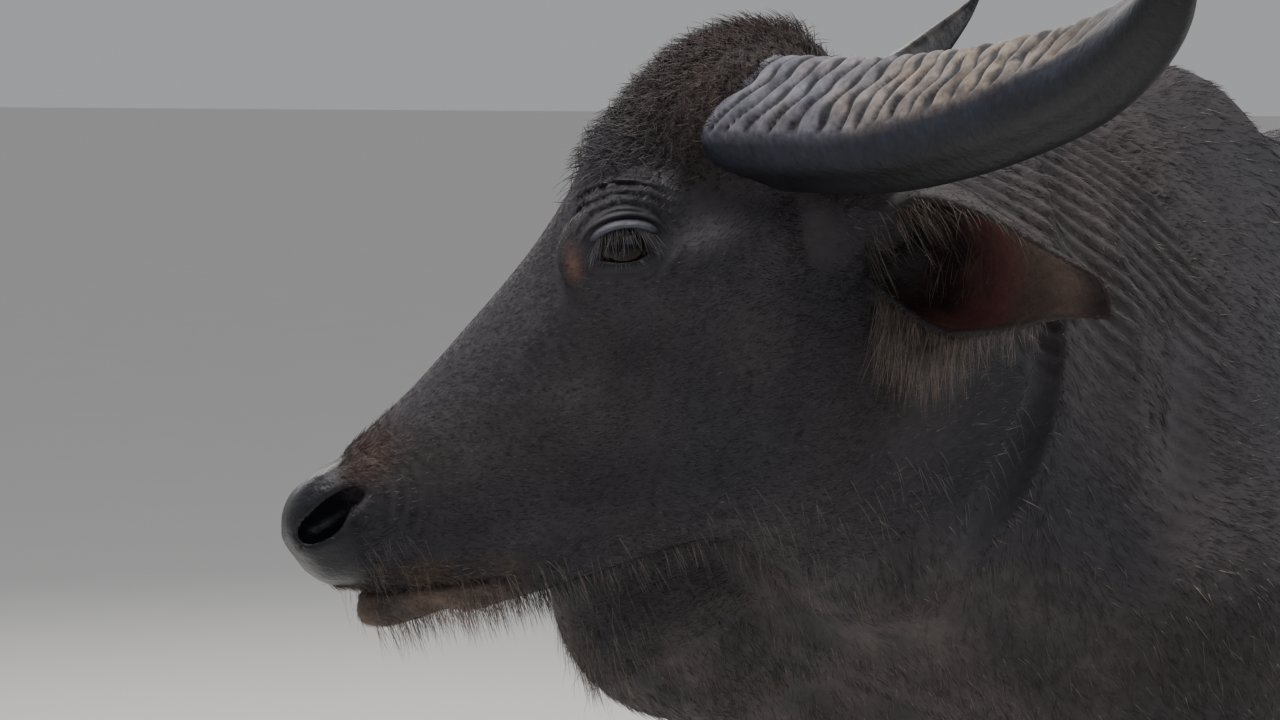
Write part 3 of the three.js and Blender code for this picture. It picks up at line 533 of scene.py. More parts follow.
def head_field(face, margin):
    d = skull(face)
    for form, k in head_parts:
        blend_in(d, face, form, k, margin)
    for form, k in head_hollows:
        blend_in(d, face, form, k, margin, cut=True)
    return d - face_relief(face) + mouth_line(face)


# Ears: leaves rolled into cups, in the head's level frame

EAR_LENGTH = 232
EAR_DROOP = -16
EAR_THICK = (11.0, 8.5)
ear_half_width = profile(
    [(0, 32), (0.12, 46), (0.28, 55), (0.42, 52), (0.58, 43), (0.74, 30), (0.88, 21)]
    + [(0.97, 16), (1, 11)]
)
ear_roll = profile([(0, 2.7), (0.15, 2.3), (0.4, 1.5), (0.7, 0.95), (1, 0.5)])
EAR_ROOT = {"left": (-160, 82, 80), "right": (-140, -92, 84)}
EAR_AXIS = {"left": (-0.6, 0.78, -0.02), "right": (0.36, -0.93, 0.02)}
EAR_OPENING = {"left": (0.52, 0.78, -0.3), "right": (0.9, 0.3, -0.3)}


class Ear:
    """One ear's frame, its field and what the coat needs to know of a point near it."""

    def __init__(self, name):
        self.side = SIDES[name]
        self.root = np.array(EAR_ROOT[name], float)
        self.axis = unit(EAR_AXIS[name])
        opening = np.array(EAR_OPENING[name])
        self.facing = unit(opening - self.axis * (opening @ self.axis))
        self.width = np.cross(self.axis, self.facing) * self.side
        tip = self.root + self.axis * EAR_LENGTH
        self.low = np.minimum(self.root, tip) - 85
        self.high = np.maximum(self.root, tip) + 85

    def places(self, level):
        """Along the ear from 0 to 1, round its roll, and off the leaf's middle sheet."""
        q = level - self.root
        t = clip01(q @ self.axis / EAR_LENGTH)
        r = q - self.axis * (t * EAR_LENGTH)[:, None]
        r[:, 2] -= EAR_DROOP * t**3
        past = r @ self.axis * (np.abs(q @ self.axis / EAR_LENGTH - t) > 1e-6)
        roll = ear_roll(t)
        radius = ear_half_width(t) / np.sin(np.minimum(roll, math.pi / 2))
        thick = mix(*EAR_THICK, t) * smooth(-0.04, 0.03, t)
        middle = radius - thick / 2
        center = radius * np.cos(roll) * 0.6
        f = r @ self.facing - center
        w = r @ self.width
        angle = np.arctan2(w, -f)
        rho = np.hypot(f, w)
        over = np.abs(angle) > roll
        end_f = -middle * np.cos(roll)
        end_w = middle * np.sin(roll) * np.sign(w)
        off = np.where(over, np.hypot(f - end_f, w - end_w), np.abs(rho - middle))
        d = off - thick / 2
        d = np.where(np.abs(past) > 0, np.hypot(np.maximum(d, 0), past), d)
        return t, angle / roll, rho - middle, d

    def near(self, level):
        return np.all((level > self.low) & (level < self.high), axis=1)

    def field(self, level):
        return self.places(level)[3]

    def form(self):
        return self.field, self.low, self.high


ears = {name: Ear(name) for name in SIDES}


# The whole flesh


# How softly the parts join
BUMP_BLEND, NECK_BLEND, TAIL_BLEND = 60, 70, 16
MUSCLE_BLEND, BONE_BLEND, LEG_BLEND = 50, 22, 45
HEAD_BLEND, EAR_BLEND = 58, 12
# A distance greater than any that is blended
FAR = 1e3


def body_field(points, margin):
    d = trunk(points)
    for form in bump_forms:
        blend_in(d, points, form, BUMP_BLEND, margin)
    for form in neck_forms:
        blend_in(d, points, form, NECK_BLEND, margin)
    for leg in legs.values():
        forms = leg["muscles"] + leg["bones"]
        low = np.min([form[1] for form in forms], axis=0) - 60 - margin
        high = np.max([form[2] for form in forms], axis=0) + 60 + margin
        near = np.all((points > low) & (points < high), axis=1)
        if not near.any():
            continue
        local = points[near]
        limbs = np.full(len(local), FAR)
        for form in leg["muscles"]:
            blend_in(limbs, local, form, MUSCLE_BLEND, margin)
        for form in leg["bones"]:
            blend_in(limbs, local, form, BONE_BLEND, margin)
        d[near] = smooth_union(d[near], limbs, LEG_BLEND)
    for form in tail_forms:
        blend_in(d, points, form, TAIL_BLEND, margin)
    return d


HEAD_REACH = 420.0
# The skin lies this far inside the solids, which leaves room for the coat
SKIN_INSET = 2.0
FOLD_PERIOD, FOLD_DEPTH = 14.5, 1.1
NEAR_MARGIN, ROUGH_MARGIN = 40.0, 160.0


def neck_folds(points):
    """Wrinkles that run down the neck behind the head, from -1 to 1 and faded at their ends."""
    x, y, z = points.T
    run = (x - 0.9 * (z - 1100)) / 1.345 + 5 * np.sin(z / 47 + y / 60)
    share = smooth(520, 600, x) * (1 - smooth(840, 890, x)) * smooth(1060, 1150, z)
    share = share + 0.2 * smooth(430, 560, x) * (1 - smooth(760, 820, x)) * smooth(800, 940, z)
    wander = 0.9 * np.sin(z / 37) + 0.8 * np.sin(y / 31)
    return np.sin(run * math.tau / FOLD_PERIOD + wander) * share


def flesh(points, margin=NEAR_MARGIN):
    """The field of the whole animal's skin."""
    d = body_field(points, margin)
    near = np.all(np.abs(points - HEAD_ORIGIN) < HEAD_REACH + margin, axis=1)
    if near.any():
        local = points[near]
        d[near] = smooth_union(d[near], head_field(to_face(local), margin), HEAD_BLEND)
        level = to_level(local)
        for ear in ears.values():
            blended = d[near]
            blend_in(blended, level, ear.form(), EAR_BLEND, margin)
            d[near] = blended
    front = points[:, 0] > 420
    d[front] -= FOLD_DEPTH * neck_folds(points[front])
    for leg in legs.values():
        x, y, z = leg["coronet"]
        foot = (np.hypot(points[:, 0] - x, points[:, 1] - y) < 150) & (points[:, 2] < z + 40)
        sole = z - 7 + (points[foot, 0] - x) * CORONET_SLOPE
        d[foot] = np.maximum(d[foot], sole - points[foot, 2])
    return d + SKIN_INSET


def in_frame(points):
    return np.asarray(points, float) * MM + FRAME_SHIFT


def node_middle(node):
    low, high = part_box(node)
    return (np.array(low) + np.array(high)) / 2


FRAME_SHIFT = node_middle("eye_left") - from_face(EYE) * MM


# A closed net over a field's surface, on lines that are closer together at the head


# Points worked on at a time, and how many cells of the net a block has along each side
CHUNK = 400_000
BLOCK = 6


def grid_lines(stops):
    """Lines from (start, spacing) pairs, ending at the last pair's start."""
    lines = []
    for (start, spacing), (end, _) in zip(stops, stops[1:]):
        count = max(1, round((end - start) / (spacing * COARSE)))
        lines.extend(np.linspace(start, end, count, endpoint=False))
    return np.array([*lines, stops[-1][0]])


def chunked(field, points):
    parts = [field(points[i : i + CHUNK]) for i in range(0, len(points), CHUNK)]
    return np.concatenate(parts) if parts else np.zeros(0)


def net_over(field, lines):
    """Vertices and quads of the surface where the field is zero."""
    lines = [
        np.append(line, line[-1] + 5.0 * np.arange(1, 1 + (-(len(line) - 1)) % BLOCK))
        for line in lines
    ]
    counts = [len(line) for line in lines]
    edges = [line[::BLOCK] for line in lines]
    centers = [(edge[1:] + edge[:-1]) / 2 for edge in edges]
    halves = [(edge[1:] - edge[:-1]) / 2 for edge in edges]
    center = np.stack(np.meshgrid(*centers, indexing="ij"), -1).reshape(-1, 3)
    half = np.stack(np.meshgrid(*halves, indexing="ij"), -1).reshape(-1, 3)
    reach = np.linalg.norm(half, axis=1)
    rough = chunked(lambda p: field(p, ROUGH_MARGIN), center)
    blocks = [len(c) for c in centers]
    active = (np.abs(rough) < 1.5 * reach + 14).reshape(blocks)
    solid = (rough < 0).reshape(blocks)
    for axis in range(3):
        active = np.repeat(active, BLOCK, axis)
        solid = np.repeat(solid, BLOCK, axis)
    wanted = np.zeros(counts, bool)
    inside = np.zeros(counts, bool)
    n0, n1, n2 = (c - 1 for c in counts)
    cube = list(itertools.product((0, 1), repeat=3))
    for a, b, c in cube:
        wanted[a : n0 + a, b : n1 + b, c : n2 + c] |= active
    inside[:n0, :n1, :n2] = solid
    values = np.where(inside, np.float32(-99), np.float32(99))
    at = np.nonzero(wanted)
    points = np.stack([lines[axis][at[axis]] for axis in range(3)], 1)
    values[at] = chunked(field, points)
    inside = values < 0
    count = np.zeros((n0, n1, n2), np.int8)
    for a, b, c in cube:
        count += inside[a : n0 + a, b : n1 + b, c : n2 + c]
    cells = np.nonzero((count > 0) & (count < 8))
    total = np.zeros((len(cells[0]), 3))
    crossings = np.zeros(len(cells[0]))
    for axis, u, v in itertools.product(range(3), (0, 1), (0, 1)):
        start = np.roll([0, u, v], axis)
        low = [cells[n] + start[n] for n in range(3)]
        high = [low[n] + (n == axis) for n in range(3)]
        va, vb = values[tuple(low)], values[tuple(high)]
        crossed = (va < 0) != (vb < 0)
        share = np.where(crossed, va / np.where(crossed, va - vb, 1), 0)
        for n in range(3):
            place = mix(lines[n][low[n]], lines[n][high[n]], share)
            total[:, n] += np.where(crossed, place, 0)
        crossings += crossed
    vertices = total / crossings[:, None]
    index = np.full((n0, n1, n2), -1, np.int32)
    index[cells] = np.arange(len(vertices))
    quads = []
    for axis in range(3):
        low = [slice(1, n) for n in (n0, n1, n2)]
        low[axis] = slice(0, (n0, n1, n2)[axis])
        high = list(low)
        high[axis] = slice(1, (n0, n1, n2)[axis] + 1)
        first = inside[tuple(low)]
        changed = np.nonzero(first != inside[tuple(high)])
        at = [changed[n] + low[n].start for n in range(3)]
        b, c = (axis + 1) % 3, (axis + 2) % 3
        corners = []
        for u, v in ((0, 0), (1, 0), (1, 1), (0, 1)):
            cell = list(at)
            cell[b] = cell[b] - u
            cell[c] = cell[c] - v
            corners.append(index[tuple(cell)])
        quad = np.stack(corners, 1)
        looks_out = first[changed]
        quad[~looks_out] = quad[~looks_out][:, ::-1]
        quads.append(quad)
    return vertices, np.concatenate(quads)


SETTLE_ROUNDS = 2
PROBE = 0.6


def settle(field, points):
    """Moves points that lie near a field's surface onto it."""
    for _ in range(SETTLE_ROUNDS):
        d = chunked(field, points)
        gradient = np.empty_like(points)
        for axis in range(3):
            probe = points.copy()
            probe[:, axis] += PROBE
            gradient[:, axis] = (chunked(field, probe) - d) / PROBE
        square = np.maximum((gradient**2).sum(1), 0.2)
        step = np.clip(-d * 0.85 / square, -6, 6)
        points = points + gradient * step[:, None]
    return points


# Meshes


def normals_of(vertices, faces):
    diagonal_a = vertices[faces[:, 2]] - vertices[faces[:, 0]]
    diagonal_b = vertices[faces[:, -1]] - vertices[faces[:, 1]]
    flat = np.cross(diagonal_a, diagonal_b)
    total = np.zeros_like(vertices)
    for corner in range(faces.shape[1]):
        for axis in range(3):
            total[:, axis] += np.bincount(faces[:, corner], flat[:, axis], len(vertices))
    return unit(total)


def outward(vertices, groups):
    """Turns the faces of a closed net so that they look outwards."""
    middle = vertices.mean(0)
    volume = 0.0
    for faces in groups:
        for n in range(1, faces.shape[1] - 1):
            a, b, c = (vertices[faces[:, corner]] - middle for corner in (0, n, n + 1))
            volume += np.einsum("ij,ij->", a, np.cross(b, c))
    return [faces[:, ::-1] for faces in groups] if volume < 0 else groups


def make_piece(name, slot, material, vertices, faces, tone, wet=None, uv=None, replaces=()):
    """A mesh piece from arrays, riding on the animal's one body. Vertices are in millimetres.

    The faces are one array, or a list of arrays with a face size each. The tone is the colour
    of each vertex, and wet how wet it looks. The piece stands for the nodes in replaces.
    """
    mesh = bpy.data.meshes.new(name)
    groups = faces if isinstance(faces, list) else [faces]
    corners = np.concatenate([group.ravel() for group in groups]).astype(np.int32)
    sizes = np.concatenate([np.full(len(group), group.shape[1]) for group in groups])
    mesh.vertices.add(len(vertices))
    mesh.vertices.foreach_set("co", in_frame(vertices).astype(np.float32).ravel())
    mesh.loops.add(len(corners))
    mesh.loops.foreach_set("vertex_index", corners)
    mesh.polygons.add(len(sizes))
    mesh.polygons.foreach_set("loop_start", (np.cumsum(sizes) - sizes).astype(np.int32))
    mesh.polygons.foreach_set("use_smooth", np.ones(len(sizes), bool))
    mesh.update(calc_edges=True)
    mesh.validate()
    layer = mesh.color_attributes.new("Tone", "FLOAT_COLOR", "POINT")
    rgba = np.hstack([tone, np.ones((len(tone), 1))])
    layer.data.foreach_set("color", rgba.astype(np.float32).ravel())
    if wet is not None:
        layer = mesh.attributes.new("Wet", "FLOAT", "POINT")
        layer.data.foreach_set("value", np.asarray(wet, np.float32))
    if uv is not None:
        layer = mesh.uv_layers.new(name="OFBake")
        layer.data.foreach_set("uv", np.asarray(uv, np.float32)[corners].ravel())
    mesh.materials.append(material)
    piece = bpy.data.objects.new(name, mesh)
    bpy.context.scene.collection.objects.link(piece)
    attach(piece, "root")
    if replaces:
        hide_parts(*replaces)


def ring_faces(rows, across, flip=False):
    """Quads between rows of points, each row a closed ring."""
    i, j = np.meshgrid(np.arange(rows - 1), np.arange(across), indexing="ij")
    i, j = i.ravel(), j.ravel()
    k = (j + 1) % across
    below, above = i * across, (i + 1) * across
    quads = np.stack([below + j, below + k, above + k, above + j], 1)
    return quads[:, ::-1] if flip else quads


# Materials


NOISE_ROUGHNESS = 0.6


def node_material(name):
    material = bpy.data.materials.new(name)
    material.use_nodes = True
    tree = material.node_tree
    shader = next(n for n in tree.nodes if n.type == "BSDF_PRINCIPLED")
    return material, tree, shader


def add_node(tree, kind, values=None, links=None, **settings):
    """A node with its settings, the values of its inputs and what they are linked to."""
    node = tree.nodes.new(kind)
    for key, value in settings.items():
        setattr(node, key, value)
    for socket, value in (values or {}).items():
        node.inputs[socket].default_value = value
    for socket, source in (links or {}).items():
        tree.links.new(source, node.inputs[socket])
    return node


def noise_node(tree, scale, detail, stretch=(1, 1, 1)):
    where = add_node(tree, "ShaderNodeTexCoord").outputs["Object"]
    mapping = add_node(tree, "ShaderNodeMapping", {"Scale": stretch}, {"Vector": where})
    values = {"Scale": scale, "Detail": detail, "Roughness": NOISE_ROUGHNESS}
    place = {"Vector": mapping.outputs["Vector"]}
    return add_node(tree, "ShaderNodeTexNoise", values, place).outputs["Fac"]


def ramp_node(tree, source, low, high, from_low=0.3, from_high=0.7):
    """Maps a source to low..high between two of its values."""
    values = {"From Min": from_low, "From Max": from_high, "To Min": low, "To Max": high}
    return add_node(tree, "ShaderNodeMapRange", values, {"Value": source}).outputs["Result"]


def finish(name, specular, roughness, mottles, bumps=()):
    """A material that shows the Tone layer.

    roughness: one number, or the dry and the wet ends of a range that the Wet layer picks from.
    mottles: noises that shade the tone, as (scale, detail, darkest, brightest).
    bumps: noises that raise the surface, as (scale, detail, stretch, distance, strength).
    """
    material, tree, shader = node_material(name)
    color = add_node(tree, "ShaderNodeAttribute", attribute_name="Tone").outputs["Color"]
    for scale, detail, darkest, brightest in mottles:
        shade = ramp_node(tree, noise_node(tree, scale, detail), darkest, brightest)
        links = {0: color, "Scale": shade}
        color = add_node(tree, "ShaderNodeVectorMath", None, links, operation="SCALE").outputs[0]
    tree.links.new(color, shader.inputs["Base Color"])
    if isinstance(roughness, tuple):
        wet = add_node(tree, "ShaderNodeAttribute", attribute_name="Wet").outputs["Fac"]
        tree.links.new(ramp_node(tree, wet, *roughness, 0.0, 1.0), shader.inputs["Roughness"])
    else:
        shader.inputs["Roughness"].default_value = roughness
    links = {}
    for scale, detail, stretch, distance, strength in bumps:
        links["Height"] = noise_node(tree, scale, detail, stretch)
        values = {"Distance": distance, "Strength": strength}
        links["Normal"] = add_node(tree, "ShaderNodeBump", values, links).outputs["Normal"]
    if bumps:
        tree.links.new(links["Normal"], shader.inputs["Normal"])
    shader.inputs["Specular IOR Level"].default_value = specular
    return material


EVEN = (1, 1, 1)
hide = finish(
    "Hide",
    0.28,
    (0.66, 0.27),
    [(9, 5, 0.72, 1.3), (160, 3, 0.82, 1.2)],
    [(70, 6, (1, 1, 1.6), 0.0022, 0.8), (420, 2, EVEN, 0.0006, 0.7)],
)
coat = finish("Coat", 0.25, 0.62, [(130, 2, 0.75, 1.3)])
long_hair = finish("Long_hair", 0.25, 0.5, [(130, 2, 0.75, 1.3)])
horn_finish = finish(
    "Horn",
    0.3,
    (0.78, 0.42),
    [(24, 6, 0.7, 1.35), (210, 3, 0.8, 1.2)],
    [(95, 6, EVEN, 0.0016, 0.8), (210, 3, EVEN, 0.0005, 0.7)],
)
eye_finish = finish("Eye", 0.22, 0.08, [(900, 3, 0.7, 1.35)])


# Markings, shared by the skin and the coat

SLATE = np.array([0.0235, 0.0225, 0.0285])
WARM = np.array([0.040, 0.032, 0.032])
PALE = np.array([0.090, 0.074, 0.068])
POLL_BROWN = np.array([0.029, 0.0185, 0.0165])
REDDISH = np.array([0.075, 0.042, 0.034])
PAD_BLACK = np.array([0.010, 0.010, 0.014])
LIP_TAN = np.array([0.118, 0.082, 0.062])
EAR_PINK = np.array([0.110, 0.042, 0.040])
EAR_TAN = np.array([0.088, 0.060, 0.050])
# Dark brown of the ears' tips; also painted shade deep in their cups
EAR_DARK_AND_SHADE = np.array([0.021, 0.012, 0.012])
EYE_PINK = np.array([0.190, 0.098, 0.076])


def ear_mark(points):
    """For each point: how much it is on an ear, on its inner face, and how far along it."""
    level = to_level(points)
    on = np.zeros(len(points))
    inner = np.zeros(len(points))
    along = np.zeros(len(points))
    for ear in ears.values():
        near = ear.near(level)
        if not near.any():
            continue
        t, around, off, d = ear.places(level[near])
        here = (1 - smooth(3, 9, d)) * smooth(0.02, 0.12, t)
        on[near] = np.maximum(on[near], here)
        face = here * (1 - smooth(-2.0, 0.5, off)) * (1 - smooth(0.93, 1.02, np.abs(around)))
        inner[near] = np.maximum(inner[near], face)
        along[near] = np.where(here > 0.1, t, along[near])
    return on, inner, along


def filled(color, points):
    return np.tile(color, (len(points), 1))


def layered(base, color, share):
    return base + (color - base) * np.asarray(share)[:, None]


def marking(points):
    """The hide's colour and how wet it looks, at points in millimetres."""
    x, y, z = points.T
    face = to_face(points)
    s, side, t = face.T
    patches = waves(points, 260, 3)
    fine = waves(points, 60, 5)
    tone = filled(SLATE, points)

    def paint(color, share):
        nonlocal tone
        tone = layered(tone, color, share)

    paint(WARM, clip01(0.35 + 0.4 * patches))
    neck = smooth(380, 620, x) * (1 - smooth(0, 40, s + 260))
    paint(WARM, 0.55 * neck)
    belly = smooth(760, 560, z) * (np.abs(y) < 330) + smooth(0.2, 1.2, waves(points, 400, 9))
    paint(PALE, np.clip(0.22 * belly, 0, 0.5))
    on_head = smooth(-250, -215, s) * (1 - smooth(120, 190, np.abs(side)))
    on_head = on_head * smooth(-200, -160, t)
    throat = smooth(720, 790, x) * smooth(1010, 900, z) * smooth(-330, -120, y) * (1 - on_head)
    paint(PALE, clip01(0.55 * throat * (0.7 + 0.4 * fine)))
    lower_legs = smooth(480, 380, z) * smooth(120, 200, z)
    paint(PALE, 0.45 * lower_legs)
    poll = on_head * smooth(-60, -140, s) * smooth(60, 120, t)
    paint(POLL_BROWN, clip01(poll * (0.8 + 0.2 * fine)))
    bridge = on_head * smooth(-20, 60, s) * smooth(20, 70, t)
    paint(SLATE * 1.5, 0.6 * bridge)
    front = s + 0.35 * t - 0.1 * np.abs(side)
    paint(PAD_BLACK, 0.85 * on_head * smooth(214, 234, front))
    pad = on_head * smooth(228, 246, front)
    mouth_up, _, mouth_turn = mouth_place(face)
    pad = pad * smooth(3, 12, mouth_up - 60 * np.maximum(mouth_turn - 0.25, 0))
    paint(PAD_BLACK, pad)
    chin = on_head * smooth(140, 190, s) * smooth(3, -4, mouth_up)
    paint(LIP_TAN, clip01(chin * (0.75 + 0.3 * fine)))
    above_lip = on_head * smooth(120, 180, s) * hump((mouth_up - 9) / 9) * (1 - pad)
    paint(LIP_TAN * 0.55, clip01(above_lip * (0.7 + 0.5 * fine)))
    red = on_head * hump((s - 200) / 24, (t - 49) / 17)
    paint(REDDISH, 0.75 * red * (1 - pad))
    wet = 0.8 * pad
    for sign in SIDES.values():
        ahead, up = eye_place(face, sign)
        on_side = smooth(30, 60, side * sign)
        corner = hump((ahead - 38) / 4.5, (up + 9) / 10) * on_side
        paint(EYE_PINK, 0.8 * corner)
        rim = on_side * np.exp(-((np.hypot(ahead / 23, up / 13.5) - 1) ** 2) / 0.03)
        paint(PAD_BLACK * 1.3, 0.75 * rim)
        wet = np.maximum(wet, 0.5 * rim)
    # Painted light and shade: the tone is lightened on the neck's raised wrinkles and darkened in
    # the troughs between them
    tone = tone * (1 + 0.3 * neck_folds(points) * (1 - on_head))[:, None]
    on, inner, along = ear_mark(points)
    paint(WARM * 0.8, on * smooth(0.15, 0.4, along))
    paint(EAR_TAN, inner * smooth(0.3, 0.5, along))
    pink = inner * smooth(0.0, 0.12, along) * (1 - smooth(0.4, 0.62, along))
    paint(EAR_PINK, pink)
    paint(EAR_TAN, 0.5 * inner * clip01(fine))
    # Painted shade: the inner face is darkened deep in the cup near the ear's root
    paint(EAR_DARK_AND_SHADE, inner * (1 - smooth(0.1, 0.3, along + 0.06 * fine)))
    # The ear's own dark tip
    paint(EAR_DARK_AND_SHADE, on * smooth(0.8, 0.95, along))
    return tone, clip01(wet)


# The skin

LINES = [
    grid_lines([(-890, 5.5), (-780, 12), (600, 3.6), (830, 3.1), (1160, 3.1)]),
    grid_lines([(-460, 3.6), (-60, 3.6), (300, 12), (470, 12)]),
    grid_lines([(20, 6), (110, 12), (840, 3.6), (1080, 3.0), (1330, 3.6), (1400, 4)]),
]

skin_points, skin_quads = net_over(flesh, LINES)
skin_points = settle(flesh, skin_points)
skin_normals = normals_of(skin_points, skin_quads)
FLESH_NODES = ["torso", "neck", "head", "ear_left", "ear_right", "tail", *legs]
skin_look = marking(skin_points)
make_piece("skin", "hide", hide, skin_points, skin_quads, *skin_look, replaces=FLESH_NODES)


# Eyes with their lids


def eye_axes(side):
    """Ahead along the opening, outward and up, as vectors of the face's frame."""
    ahead = np.array([math.cos(EYE_TILT), 0, math.sin(EYE_TILT)])
    up = np.array([-math.sin(EYE_TILT), 0, math.cos(EYE_TILT)])
    out = np.array([0, side, 0.0])
    return ahead, out, up


def on_eye(side, ahead, up, out):
    """Points of the face's frame, from how far ahead, up and out of an eye's middle they are."""
    ahead_axis, out_axis, up_axis = eye_axes(side)
    flat = EYE * [1, side, 1] + ahead[:, None] * ahead_axis + up[:, None] * up_axis
    return flat + out[:, None] * out_axis


LID_AROUND = 120
LID_ROWS = 30
# Over how far the skin is searched for outside and inside the face, and in how many halvings
SEARCH_OUT, SEARCH_DEPTH, HALVINGS = 60, 75.0, 22
OPENING = {"half_length": 24.0, "upper": 12.0, "lower": 11.5}


def lid_margin(angle):
    """The opening's edge round the eye: ahead and up."""
    ahead = OPENING["half_length"] * np.cos(angle)
    lift = np.where(np.sin(angle) > 0, OPENING["upper"], OPENING["lower"])
    up = lift * np.sign(np.sin(angle)) * np.abs(np.sin(angle)) ** 1.15
    return ahead, up - 1.5 * clip01(np.cos(angle)) ** 3


def skin_over(plane, out_axis):
    """How far out of a plane through the eye the skin lies, at each point of the plane."""
    start = plane + out_axis * SEARCH_OUT
    low = np.zeros(len(plane))
    high = np.full(len(plane), SEARCH_DEPTH)
    for _ in range(HALVINGS):
        half = (low + high) / 2
        outside = flesh(from_face(start - half[:, None] * out_axis)) > 0
        low = np.where(outside, half, low)
        high = np.where(outside, high, half)
    return SEARCH_OUT - low


def lids(name):
    """Both lids of an eye: from the edge on the eyeball out to the skin, with the lid fold."""
    side = SIDES[name]
    out_axis = eye_axes(side)[1]
    angle = circle(LID_AROUND)
    ahead, up = lid_margin(angle)
    ball_out = np.sqrt(np.maximum((EYE_RADIUS + 1.0) ** 2 - 0.86 * ahead**2 - up**2, 9))
    outer_ahead, outer_up = 39 * np.cos(angle), 30 * np.sin(angle)
    upper = clip01(np.sin(angle)) ** 0.6
    lower = clip01(-np.sin(angle)) ** 0.6
    rows = []
    for row in range(LID_ROWS):
        # The first row is tucked in behind the edge, and the last one lies under the skin
        scale, sink = (0.96, -4.0) if row == 0 else (1.0, 0.0)
        r = max(row - 1, 0) / (LID_ROWS - 2)
        ahead_here = mix(ahead * scale, outer_ahead, r)
        up_here = mix(up * scale, outer_up, r)
        plane = on_eye(side, ahead_here, up_here, np.zeros(LID_AROUND))
        skin_out = skin_over(plane, out_axis)
        roll = 3.2 * hump((r - 0.16) / 0.17) * (0.3 + 0.7 * upper + 0.2 * lower)
        fold = -2.8 * hump((r - 0.42) / 0.05) * upper
        brow = 2.6 * hump((r - 0.56) / 0.1) * upper
        pouch = 1.4 * hump((r - 0.4) / 0.12) * lower
        level = mix(ball_out, skin_out, smooth(0.0, 0.75, r))
        bulge = (roll + fold + brow + pouch) * (1 - smooth(0.7, 0.95, r))
        out = level + bulge + sink - 0.25 * smooth(0.8, 1.0, r)
        if row == LID_ROWS - 1:
            out = skin_out - 1.6
        rows.append(plane + out[:, None] * out_axis)
    points = from_face(np.concatenate(rows))
    tone, wet = marking(points)
    r = np.repeat(np.arange(LID_ROWS) / (LID_ROWS - 1), LID_AROUND)
    rise = np.tile(clip01(np.sin(angle)), LID_ROWS)
    tone = layered(tone, PAD_BLACK, 0.85 * np.exp(-((r / 0.3) ** 4)))
    # Painted highlight: a pale arc on the rounded roll of the upper lid
    lid_roll_highlight = smooth(0.03, 0.12, r) * (1 - smooth(0.26, 0.38, r)) * smooth(0.35, 0.75, rise)
    tone = layered(tone, SLATE * 4.2, 0.9 * lid_roll_highlight)
    # Painted shade in the crease of the upper lid's fold
    tone = layered(tone, PAD_BLACK, 0.85 * hump((r - 0.43) / 0.05) * rise)
    # Painted highlight on the brow's roll above the fold
    tone = layered(tone, SLATE * 2.4, 0.6 * hump((r - 0.56) / 0.07) * rise)
    wet = np.maximum(wet * (r > 0.2), hump(r / 0.06))
    faces = ring_faces(LID_ROWS, LID_AROUND, flip=side < 0)
    make_piece(f"lids_{name}", "hide", hide, points, faces, tone, wet)


EYE_BROWN = np.array([0.030, 0.021, 0.018])
IRIS = np.array([0.009, 0.005, 0.004])
PUPIL = np.array([0.002, 0.002, 0.003])


def eyeball(name):
    """The ball of an eye with its clear bulge, dark iris and level pupil."""
    rows, around = 48, 72
    polar = np.linspace(0, math.pi, rows)
    p, a = (grid.ravel() for grid in np.meshgrid(polar, circle(around), indexing="ij"))
    radius = EYE_RADIUS - 0.5 + 0.9 * (1 - smooth(0.5, 0.72, p))
    ahead = radius * np.sin(p) * np.cos(a)
    up = radius * np.sin(p) * np.sin(a)
    out = radius * np.cos(p)
    tone = layered(filled(EYE_BROWN, p), IRIS, 1 - smooth(0.66, 0.74, p))
    off_pupil = np.hypot(ahead / 10.5, up / 5.2) + (out < 0) * 9
    tone = layered(tone, PUPIL, 1 - smooth(0.8, 1.0, off_pupil))
    points = from_face(on_eye(SIDES[name], ahead, up, out))
    faces = outward(points, [ring_faces(rows, around)])
    node = f"eye_{name}"
    make_piece(f"eyeball_{name}", "eye", eye_finish, points, faces, tone, replaces=[node])


for name in SIDES:
    lids(name)
    eyeball(name)


# Horns

# The horn's stations: place in the level frame, width and thickness
HORN = np.array(
    [
        (-74, 34, 168, 88, 84),
        (-90, 92, 172, 90, 76),
        (-128, 156, 172, 88, 66),
        (-173, 220, 175, 85, 58),
        (-229, 324, 190, 74, 50),
        (-278, 420, 214, 60, 42),
        (-308, 498, 252, 41, 30),
        (-310, 540, 304, 18, 15),
        (-302, 552, 330, 4, 4),
    ],
    float,
)
HORN_SET = {"left": (0, 0), "right": (90, -55)}
HORN_LENGTH = 633.0
HORN_ROWS = 580
RIDGED_SHARE = 0.8
RIDGES = 29
# How far the edge between the horn's two faces lies above its front, along the horn
horn_edge = profile(
    [(0, -0.09), (0.3, -0.07), (0.37, 0), (0.5, 0.1), (0.62, 0.26), (0.72, 0.35), (1, 0.35)]
)
DUST = np.array([0.190, 0.155, 0.128])
HORN_LILAC = np.array([0.128, 0.126, 0.156])
# Bluish slate of the painted sheen below the horn's edge
HORN_SHEEN_SLATE = np.array([0.020, 0.024, 0.038])
HORN_BLACK = np.array([0.006, 0.006, 0.008])


